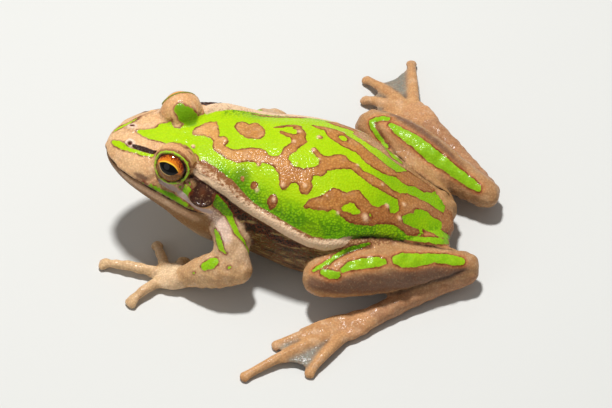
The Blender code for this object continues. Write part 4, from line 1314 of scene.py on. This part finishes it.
    def green_depth(self) -> np.ndarray:
        """Work out how deep each point lies inside the green.

        Returns:
            The depth, less than 0 outside the green.
        """
        marks, straight, body = self.marks, self.straight, self.body
        along, _, height = straight.T
        outline = tuple((item[0], item[1] + 0.2) for item in marks.fold if -14.5 < item[0] < 19)
        back = outline + marks.rear + on_side(outline[::-1], Side.LEFT)
        green = np.maximum(outline_field(straight[:, :2], back), outline_field(straight[:, :2], marks.crown))
        green = np.minimum(green, -self.copper_field())
        lowest = np.where(along < -18, 22.0, np.where(along < 19, self.fold_line(2) - 0.9, 9.0))
        green = np.where(body & (height > lowest) & (height > 11), green, FAR)

        # The strips of the head, less the copper round the eyes, and then lids and limbs
        strips = [on_side(marks.head_green[0], Side.LEFT), marks.right_green]
        for chain in marks.head_green[1:]:
            strips += self.both(chain)
        green = np.maximum(green, self.deepest(straight, strips, body))
        for side in Side:
            green = np.minimum(green, self.away_from(marks.eye, side) - 5.0)
        green = np.minimum(green, -self.deepest(straight, self.both(marks.brow_tail)))
        green = np.maximum(green, self.deepest(straight, [marks.brow_patch], body))
        green = np.maximum(green, 3.0 * np.minimum(self.lids - 1.01, 1.145 - self.lids))
        green = np.maximum(green, self.deepest(self.points, marks.limb_green, ~body))

        # Outside the rims of the rump the back's green ends
        self.rim = np.zeros(len(along))
        for chain in marks.rump_edge:
            drop, share = self.crest_offset(self.points, chain)
            rim = body & (drop < 0) & (drop > -12) & (share > 0.001) & (share < 0.999)
            green = np.where(rim, np.minimum(green, drop), green)
            self.rim = np.maximum(self.rim, rim * fade(drop, 0.0, -0.5))
        return np.maximum(green, self.deepest(self.points, marks.seam_green))

    def dark_and_shade_depth(self) -> np.ndarray:
        """Work out how deep each point lies inside the dark lines, of which the lid rims, the nostril pits
        and some seams are painted shade.

        Returns:
            The depth, less than 0 outside them.
        """
        marks, straight, body = self.marks, self.straight, self.body
        lines = [on_side(marks.canthus, Side.LEFT), marks.right_canthus, *self.both(marks.lip_line)]
        dark = self.deepest(straight, lines, body)
        for side in Side:
            mouth, gape = self.crest_offset(straight, on_side(marks.mouth, side))
            line = 0.28 * fade(gape, 1.0, 0.95) - np.abs(mouth)
            dark = np.maximum(dark, np.where(self.on(Flesh.HEAD), line, FAR))
            # A painted shade in the pit of each nostril
            dark = np.maximum(dark, np.where(body, 0.16 - self.away_from(marks.nostril, side), FAR))
        # Painted shadow where the lids roll in over the eyeball
        dark = np.maximum(dark, 3.0 * (0.98 - self.lids))
        # Painted shadow along the deepest seams, where the thighs fold against the body
        seams = [marks.seam[number] for number in marks.shadow_seams]
        return np.maximum(dark, self.deepest(self.points, seams) - 0.1)

    def fold_depth(self) -> tuple[np.ndarray, np.ndarray]:
        """Work out the cream of the fold and the brown of its upper edge, widest behind the left eye.

        Returns:
            How deep each point lies inside the cream, and its share of brown.
        """
        cream = np.full(len(self.straight), FAR)
        brown = np.zeros(len(self.straight))
        for side in Side:
            fold, share = self.crest_offset(self.straight, on_side(self.marks.fold, side))
            front = fade(self.straight[:, 0], -2, -12) * (side is Side.LEFT)
            width = (1.5 + 0.5 * front) * fade(share, -0.02, 0.08) * fade(share, 1.06, 0.88) + 0.05
            near = self.body & (np.abs(fold) < 3)
            strength = 1.0 if side is Side.LEFT else 0.35
            cream = np.maximum(cream, np.where(near, width - np.abs(fold - 0.1 - 0.55 * front), FAR))
            brown = np.where(near, fade(fold, 0.9 - 0.8 * front, 1.75 + 0.35 * front) * strength, brown)
        return cream, brown

    def granule_share(self) -> tuple[np.ndarray, np.ndarray]:
        """Work out how strongly the granules stand up and speckle the green.

        Returns:
            Each point's share of relief, and its share of specks.
        """
        along, across, height = self.straight.T
        below = self.body & (height < self.fold_line(2) - 1.2) & (along > -11)
        low = self.body * (along > -14) * fade(self.fold_line(1) - np.abs(across), 5.0, 1.5)
        back = 0.34 + self.body * (0.16 * self.on(Flesh.TORSO) + 0.44 * low)
        grain = np.where(below, 1.0, back)
        for side in Side:
            grain = np.where(self.body & (self.drum_distance(side) < 3.0), 0.04, grain)
        return grain, np.where(self.body, 0.12 + 0.8 * low, 0.2)

    def drum_distance(self, side: Side) -> np.ndarray:
        """Return each point's distance from the middle of an ear drum, mostly along and up."""
        return self.away_from(self.marks.ear, side, (1, 0.45, 1))

    def crease_shade(self) -> np.ndarray:
        """Work out the painted shade of the creases: how deep each point sits in a hollow of the skin or in a
        seam.

        Returns:
            Shares between 0 and 1.
        """
        smooth = self.blurred(self.points, 10)
        hollow = np.einsum("ij,ij->i", smooth - self.points, self.normals())
        seams = 0.95 * fade(self.deepest(self.points, self.marks.seam), -0.35, 0.15)
        return np.maximum(fade(hollow, 0.06, 0.32), seams)

    def ground_colour(self, green: np.ndarray) -> np.ndarray:
        """Work out the colour under the green, which changes softly from region to region and holds some
        painted shade and sheen.

        Args:
            green: how deep each point lies inside the green.

        Returns:
            Linear red, green, blue and alpha for each point.
        """
        marks, palette, body, torso = self.marks, self.palette, self.body, self.on(Flesh.TORSO)
        along, _, height = self.straight.T
        drop = self.fold_line(2) - height
        wash = Wash(np.array([linear(region.colour) for region in Flesh])[self.region])
        # Copper over the back: paler at the front, partly its own tone and partly a painted sheen, and darker
        # behind, partly its own deeper tone and partly painted shade on the hump's far slope
        wash.lay(palette.copper_front_and_sheen, body * fade(along, -22, -16) * fade(height, 14, 20))
        wash.lay(palette.copper_back_and_shade, body * fade(along, -16, 2) * fade(height, 14, 20))
        wash.lay(palette.side_rust, torso * fade(along, -9, -4) * fade(drop, -7.0, -3.5) * 0.6)
        wash.lay(palette.rump_rim, self.rim)
        # Below the fold the flank is dark olive: partly its own colour, partly painted shade under the
        # overhanging fold
        wash.lay(palette.flank, torso * fade(drop, 0.8, 2.2))
        wash.lay(palette.flank_low, torso * (drop > 0) * fade(height, 15.5, 12.5) * fade(height, 12, 8))
        for side, clear in ((Side.LEFT, 0.2), (Side.RIGHT, 1.6)):
            under = chain_field(self.straight, on_side(marks.under_fold, side))
            wash.lay(palette.fold_shadow, body * fade(under, -0.9, 0.3) * (drop > clear))
        wash.lay(palette.belly, body * fade(height, 6.0, 2.5))
        # The jaw's dark brown is partly its own colour and partly painted shade, as it faces down; the throat
        # below is pale
        jaw = (self.node == "lower_jaw") | (self.on(Flesh.HEAD) & (height < 18.3))
        wash.lay(palette.jaw, jaw)
        wash.lay(palette.throat, jaw * fade(height, 14, 7))
        for side in Side:
            lip = chain_field(self.straight, on_side(marks.lip_pale, side))
            wash.lay(palette.lip, body * fade(lip, -0.7, 0.3) * 0.9)
            spot = chain_field(self.straight, on_side(marks.lip_shadow, side))
            wash.lay(palette.lip_shadow, body * fade(spot, -0.3, 0.25) * 0.85)
            arm = chain_field(self.points, on_side(marks.arm_pale, side))
            wash.lay(palette.arm, fade(arm, -1.0, 0.3) * 0.8)
        for side in Side:
            away = self.drum_distance(side)
            shown = 1.0 if side is Side.LEFT else fade(height, 25.4, 24.4)
            wash.lay(palette.drum, body * fade(away, 3.05, 2.8) * shown)
            wash.lay(palette.drum_middle, body * fade(away, 1.3, 0.3))
            away = self.away_from(marks.nostril, side)
            wash.lay(palette.nostril_rim, body * fade(away, 1.4, 1.0) * 0.85)
            wash.lay(palette.nostril, body * fade(away, 0.85, 0.6))
            wash.lay(palette.brow, body * fade(self.away_from(marks.eye, side), 6.0, 5.0) * (height > 27.5))
        wash.lay(palette.web, self.web * 0.9)
        shade = fade(self.deepest(self.points, marks.shank_shade), -0.8, 0.5)
        wash.lay(palette.shank, ~body * 0.9 * shade)
        wash.lay(palette.leg_edge, self.on(Flesh.THIGH, Flesh.SHANK) * fade(green, -1.3, -0.2) * 0.6)
        return self.blurred(wash.colours, 2)

    def leaf_colour(self) -> np.ndarray:
        """Work out the green, which is lime on the back and darker towards the flanks, partly as painted
        shade.

        Returns:
            Linear red, green, blue and alpha for each point.
        """
        palette, body = self.palette, self.body
        along, across, height = self.straight.T
        inward = self.fold_line(1) - np.abs(across)
        # The flanks turn a deeper green behind the head: partly the skin's own colour, partly painted shade,
        # which is why the left flank takes much more of it than the right
        flank_tone_and_shade = body * fade(along, -19, -12) * (0.6 - 0.4 * np.sign(across))
        wash = Wash(np.tile(linear(palette.lime), (len(height), 1)))
        wash.lay(palette.side_green, flank_tone_and_shade * fade(inward, 6.0, 2.5))
        wash.lay(palette.deep_green, flank_tone_and_shade * fade(inward, 3.4, 0.4))
        wash.lay(palette.rump_green, body * fade(along, 18, 26))
        cheek = body * (height < self.fold_line(2)) * fade(np.abs(across), 8.5, 10.5) * (along < -9)
        wash.lay(palette.cheek_green, cheek)
        wash.lay(palette.limb_green, ~body)
        patch = chain_field(self.straight, self.marks.brow_patch)
        wash.lay(palette.brow_green, body * fade(patch, -0.6, 0.4))
        # Painted shade: a darker green in the hollow behind each shoulder, stronger on the left
        hollow = np.hypot(along + 7.2, np.abs(across) - 8.8)
        wash.lay(palette.hollow_shade_green, body * fade(hollow, 3.2, 1.0) * (0.4 - 0.25 * np.sign(across)))
        wash.lay(palette.lids, fade(self.lids, 1.3, 1.2))
        wash.lay(palette.right_lids, fade(self.lids, 1.3, 1.2) * (across > 0))
        return wash.colours

    def write(self, skin: bpy.types.Object, name: str, values: np.ndarray) -> None:
        """Store a row of numbers for each point as an attribute of the skin.

        Args:
            skin: the skin.
            name: the attribute's name.
            values: rows of three numbers, or of four for a colour.
        """
        colour = values.shape[1] == 4
        attribute = skin.data.attributes.new(name, "FLOAT_COLOR" if colour else "FLOAT_VECTOR", "POINT")
        attribute.data.foreach_set("color" if colour else "vector",
                                   np.ascontiguousarray(values, np.float32).ravel())

    def store(self, skin: bpy.types.Object) -> None:
        """Put the points back into the mesh, thin it where it is smooth, and take it to metres.

        Args:
            skin: the skin, which already holds its attributes.
        """
        skin.data.vertices.foreach_set("co", self.points.astype(np.float32).ravel())
        skin.data.update()
        thin = skin.modifiers.new("thin", "DECIMATE")
        thin.ratio = self.most_faces / len(self.triangles)
        self.bake(skin)
        points = np.zeros(len(skin.data.vertices) * 3)
        skin.data.vertices.foreach_get("co", points)
        points = points.reshape(-1, 3)
        points[:, 2] = np.maximum(points[:, 2], self.floor)
        points = (points - self.offset) * MM
        skin.data.vertices.foreach_set("co", points.astype(np.float32).ravel())
        skin.data.shade_smooth()
        skin.data.update()


@dataclass(frozen=True)
class EyeFinish:
    """A wet frog's eye: copper iris, gold rim and black pupil under a clear, glossy cornea."""

    pupil: str = "050403"
    copper: str = "DC7A1E"
    ember: str = "6E2008"
    bronze: str = "9C6422"
    umber: str = "54300E"
    gold: str = "FFC63A"
    pale_gold: str = "D8B878"
    rim: str = "120A06"
    tilt: float = 14.0
    pupil_reach: float = 2.4     # half the pupil's length
    pupil_top: float = 1.2
    pupil_bottom: float = -1.35
    pupil_centre: tuple[float, float] = (-0.55, 0.3)
    iris_centre: tuple[float, float] = (-0.3, 0.0)
    iris_radius: tuple[float, float] = (3.25, 3.2)
    ray_turns: float = 2.2       # waves of the iris's rays in a millimetre
    gloss: float = 0.02
    cornea: float = 1.34

    def material(self) -> bpy.types.Material:
        """Make the eye's material, drawn on the eye's own map in millimetres.

        Returns:
            The material.
        """
        made = bpy.data.materials.new("wet eye with copper iris")
        made.use_nodes = True
        made.node_tree.nodes.clear()
        add = partial(add_node, made.node_tree)
        place = add(Kind.MAP, uv_map="iris")[0]
        turned = add(Kind.ROTATE, {"Vector": place, "Angle": math.radians(self.tilt)},
                     rotation_type="Z_AXIS")[0]
        across, up, _ = add(Kind.SPLIT, {0: turned})

        # The pupil is a level slit between two bows
        (ahead, above), reach = self.pupil_centre, self.pupil_reach
        bow = add(Kind.MATH, {0: across, 1: 1 / reach, 2: -ahead / reach}, operation="MULTIPLY_ADD")[0]
        bow = add(Kind.MATH, {0: bow}, operation="ABSOLUTE")[0]
        bow = add(Kind.MATH, {0: bow, 1: 2.5}, operation="POWER")[0]
        raised = add(Kind.MATH, {0: up, 1: above}, operation="SUBTRACT")[0]
        top, bottom = (add(Kind.MATH, {0: bow, 1: -height, 2: height}, operation="MULTIPLY_ADD")[0]
                       for height in (self.pupil_top, self.pupil_bottom))
        under_top = add(Kind.MATH, {0: top, 1: raised}, operation="SUBTRACT")[0]
        over_bottom = add(Kind.MATH, {0: raised, 1: bottom}, operation="SUBTRACT")[0]
        inside = add(Kind.MATH, {0: under_top, 1: over_bottom}, operation="MINIMUM")[0]

        rays = add(Kind.NOISE, {"Vector": place, "Scale": self.ray_turns, "Detail": 5.0, "Roughness": 0.8,
                                "Distortion": 1.2})["Fac"]
        shift = [-centre / reach for centre, reach in zip(self.iris_centre, self.iris_radius)]
        flat = [1 / reach for reach in self.iris_radius]
        disc = add(Kind.MAPPING, {"Vector": turned, "Location": (*shift, 0.0), "Scale": (*flat, 0.0)})[0]
        radius = add(Kind.VECTOR_MATH, {0: disc}, operation="LENGTH")["Value"]
        share = {name: add(Kind.RANGE, {0: source, 1: low, 2: high, 4: most},
                           interpolation_type="SMOOTHSTEP")[0]
                 for name, source, low, high, most in (
                     ("glow", under_top, -1.5, -0.3, 0.22), ("bronze", rays, 0.38, 0.6, 1.0),
                     ("upper", up, -0.5, 0.5, 1.0), ("gold", under_top, -0.42, -0.16, 1.0),
                     ("gold ahead", across, 2.0, 1.4, 1.0), ("gold above", over_bottom, -0.1, 0.3, 1.0),
                     ("pale gold", over_bottom, -0.3, -0.1, 0.85), ("pale ahead", across, 0.9, 0.0, 1.0),
                     ("pale below", up, 0.35, -0.2, 1.0), ("pupil", inside, -0.06, 0.04, 1.0),
                     ("rim", radius, 0.9, 1.02, 1.0))}
        glow = add(Kind.MATH, {0: rays, 1: share["glow"]}, operation="ADD")[0]
        share["copper"] = add(Kind.RANGE, {0: glow, 1: 0.5, 2: 0.66}, interpolation_type="SMOOTHSTEP")[0]
        for name, limit in (("gold", "gold ahead"), ("gold", "gold above"), ("pale gold", "pale ahead"),
                            ("pale gold", "pale below")):
            share[name] = add(Kind.MATH, {0: share[name], 1: share[limit]}, operation="MULTIPLY")[0]

        # Ember and copper above, umber and bronze below, then the gold lines, the pupil and the rim
        upper, lower = (add(Kind.MIX, {"Factor": share[name], 6: linear(first), 7: linear(second)},
                            data_type="RGBA")[2]
                        for name, first, second in (("copper", self.ember, self.copper),
                                                    ("bronze", self.umber, self.bronze)))
        colour = lower
        for name, over in (("upper", upper), ("gold", linear(self.gold)),
                           ("pale gold", linear(self.pale_gold)), ("pupil", linear(self.pupil)),
                           ("rim", linear(self.rim))):
            colour = add(Kind.MIX, {"Factor": share[name], 6: colour, 7: over}, data_type="RGBA")[2]
        shader = add(Kind.SHADER, {
            "Base Color": colour, "Roughness": 0.5, "Specular IOR Level": 0.0, "Coat Weight": 1.0,
            "Coat Roughness": self.gloss, "Coat IOR": self.cornea})[0]
        add(Kind.OUTPUT, {"Surface": shader})
        return made


@dataclass
class Eye:
    """One eyeball, which fills its socket and shows between the lids."""

    side: Side
    centre: Vector
    axis: Vector
    offset: np.ndarray
    radius: float = 3.9
    rings: int = 48
    sectors: int = 64

    def build(self, material: bpy.types.Material) -> bpy.types.Object:
        """Args:
            material: the finish of the eyes.

        Returns:
            The finished eyeball.
        """
        name = self.side.name.lower()
        shape = bmesh.new()
        bmesh.ops.create_uvsphere(shape, u_segments=self.sectors, v_segments=self.rings,
                                  radius=self.radius)
        level, up = iris_frame(self.axis)
        layer = shape.loops.layers.uv.new("iris")
        for face in shape.faces:
            for loop in face.loops:
                loop[layer].uv = (loop.vert.co.x, loop.vert.co.y)
        turn = Matrix((level, up, self.axis)).transposed()
        if turn.determinant() < 0:
            bmesh.ops.reverse_faces(shape, faces=shape.faces)
        bmesh.ops.transform(shape, matrix=turn.to_4x4(), verts=shape.verts)
        bmesh.ops.translate(shape, vec=self.centre - Vector(self.offset), verts=shape.verts)
        bmesh.ops.scale(shape, vec=(MM, MM, MM), verts=shape.verts)
        mesh = bpy.data.meshes.new("eyeball_" + name)
        shape.to_mesh(mesh)
        shape.free()
        mesh.shade_smooth()
        mesh.materials.append(material)
        ball = bpy.data.objects.new("eyeball_" + name, mesh)
        bpy.context.scene.collection.objects.link(ball)
        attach(ball, "root")
        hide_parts("eye_" + name)
        return ball


@dataclass(frozen=True)
class Lamp:
    """A round soft light that points at the frog: its place and width in metres and its watts."""

    name: str
    place: Place
    width: float
    power: float

    def build(self) -> None:
        """Hang the light."""
        data = bpy.data.lights.new(self.name, "AREA")
        data.shape = "DISK"
        data.size = self.width
        data.energy = self.power
        lamp = bpy.data.objects.new(self.name, data)
        lamp.location = self.place
        lamp.rotation_euler = (-Vector(self.place)).to_track_quat("-Z", "Y").to_euler()
        bpy.context.scene.collection.objects.link(lamp)


@dataclass
class Studio:
    """The pale floor, the soft lights and the camera at the photograph's angle."""

    offset: np.ndarray
    target: Place = (6.6, -3.0, 13.0)
    azimuth: float = 10.0
    elevation: float = 50.0
    distance: float = 1000.0
    width: float = 135.7         # how much of the frog's plane the picture spans
    sensor: float = 36.0
    key: Lamp = Lamp("key", (-0.08, 0.10, 0.66), 0.07, 4.9)
    fill: Lamp = Lamp("fill", (-0.55, -0.6, 0.35), 0.6, 0.8)
    sky: float = 0.25
    floor_colour: str = "D2D2CE"
    floor_roughness: float = 0.8
    floor_reach: float = 3000.0

    def build(self) -> None:
        """Build floor, lights, world and camera."""
        self.build_floor()
        self.key.build()
        self.fill.build()
        self.build_world()
        self.build_camera()

    def build_floor(self) -> None:
        """Lay a plain pale floor under the frog."""
        shape = bmesh.new()
        bmesh.ops.create_grid(shape, x_segments=1, y_segments=1, size=self.floor_reach * MM)
        mesh = bpy.data.meshes.new("floor")
        shape.to_mesh(mesh)
        shape.free()
        material = bpy.data.materials.new("matt studio paint")
        material.use_nodes = True
        shader = material.node_tree.nodes["Principled BSDF"]
        shader.inputs["Base Color"].default_value = linear(self.floor_colour)
        shader.inputs["Roughness"].default_value = self.floor_roughness
        mesh.materials.append(material)
        floor = bpy.data.objects.new("floor", mesh)
        bpy.context.scene.collection.objects.link(floor)

    def build_world(self) -> None:
        """Put a faint, even white round everything."""
        world = bpy.data.worlds.new("studio")
        world.use_nodes = True
        background = world.node_tree.nodes["Background"]
        background.inputs["Color"].default_value = linear("FFFFFF")
        background.inputs["Strength"].default_value = self.sky
        bpy.context.scene.world = world

    def build_camera(self) -> None:
        """Set the camera where the photograph was taken from."""
        turn, rise = math.radians(self.azimuth), math.radians(self.elevation)
        back = Vector((math.sin(turn) * math.cos(rise), -math.cos(turn) * math.cos(rise), math.sin(rise)))
        data = bpy.data.cameras.new("camera")
        data.sensor_width = self.sensor
        data.lens = self.sensor * self.distance / self.width
        data.clip_start = 0.05
        data.clip_end = 20.0
        camera = bpy.data.objects.new("camera", data)
        camera.location = (Vector(self.target) - Vector(self.offset) + back * self.distance) * MM
        camera.rotation_mode = "QUATERNION"
        camera.rotation_quaternion = (-back).to_track_quat("-Z", "Y")
        bpy.context.scene.collection.objects.link(camera)
        bpy.context.scene.camera = camera
        bpy.context.scene.view_settings.view_transform = "Standard"


def eye_place(stance: Stance, marks: Markings, side: Side) -> tuple[Vector, Vector]:
    """Work out where an eye sits.

    Args:
        stance: how the head is turned.
        marks: holds the eye's place and direction on the straight body.
        side: the eye's side.

    Returns:
        The eye's centre and the direction it looks in.
    """
    centre = np.array(on_side((marks.eye,), side))
    forward = np.array(on_side((marks.eye_axis,), side)) / np.linalg.norm(marks.eye_axis)
    place, ahead = (stance.turned(points, centre[:, 0])[0] for points in (centre, centre + forward))
    return Vector(place), Vector(ahead - place).normalized()


def main() -> None:
    """Build the frog's looks and the studio round it."""
    logging.basicConfig(level=logging.INFO, format="%(name)s %(message)s")
    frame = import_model()
    stance, marks = Stance(), Markings()
    eyes = {side: eye_place(stance, marks, side) for side in Side}
    low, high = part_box("eye_left")
    offset = np.array(eyes[Side.LEFT][0] - (low + high) / 2 / MM)
    Studio(offset).build()
    LOG.info("studio built, frame offset %s", offset.round(3))
    material = EyeFinish().material()
    for side in Side:
        ball = Eye(side, *eyes[side], offset).build(material)
        LOG.info("%s: %d faces", ball.name, len(ball.data.polygons))
    skin = Skin(stance, marks, offset, eyes).build(frame["nodes"])
    LOG.info("skin: %d points, %d faces", len(skin.data.vertices), len(skin.data.polygons))
    bpy.context.view_layer.update()


if __name__ == "__main__":
    main()
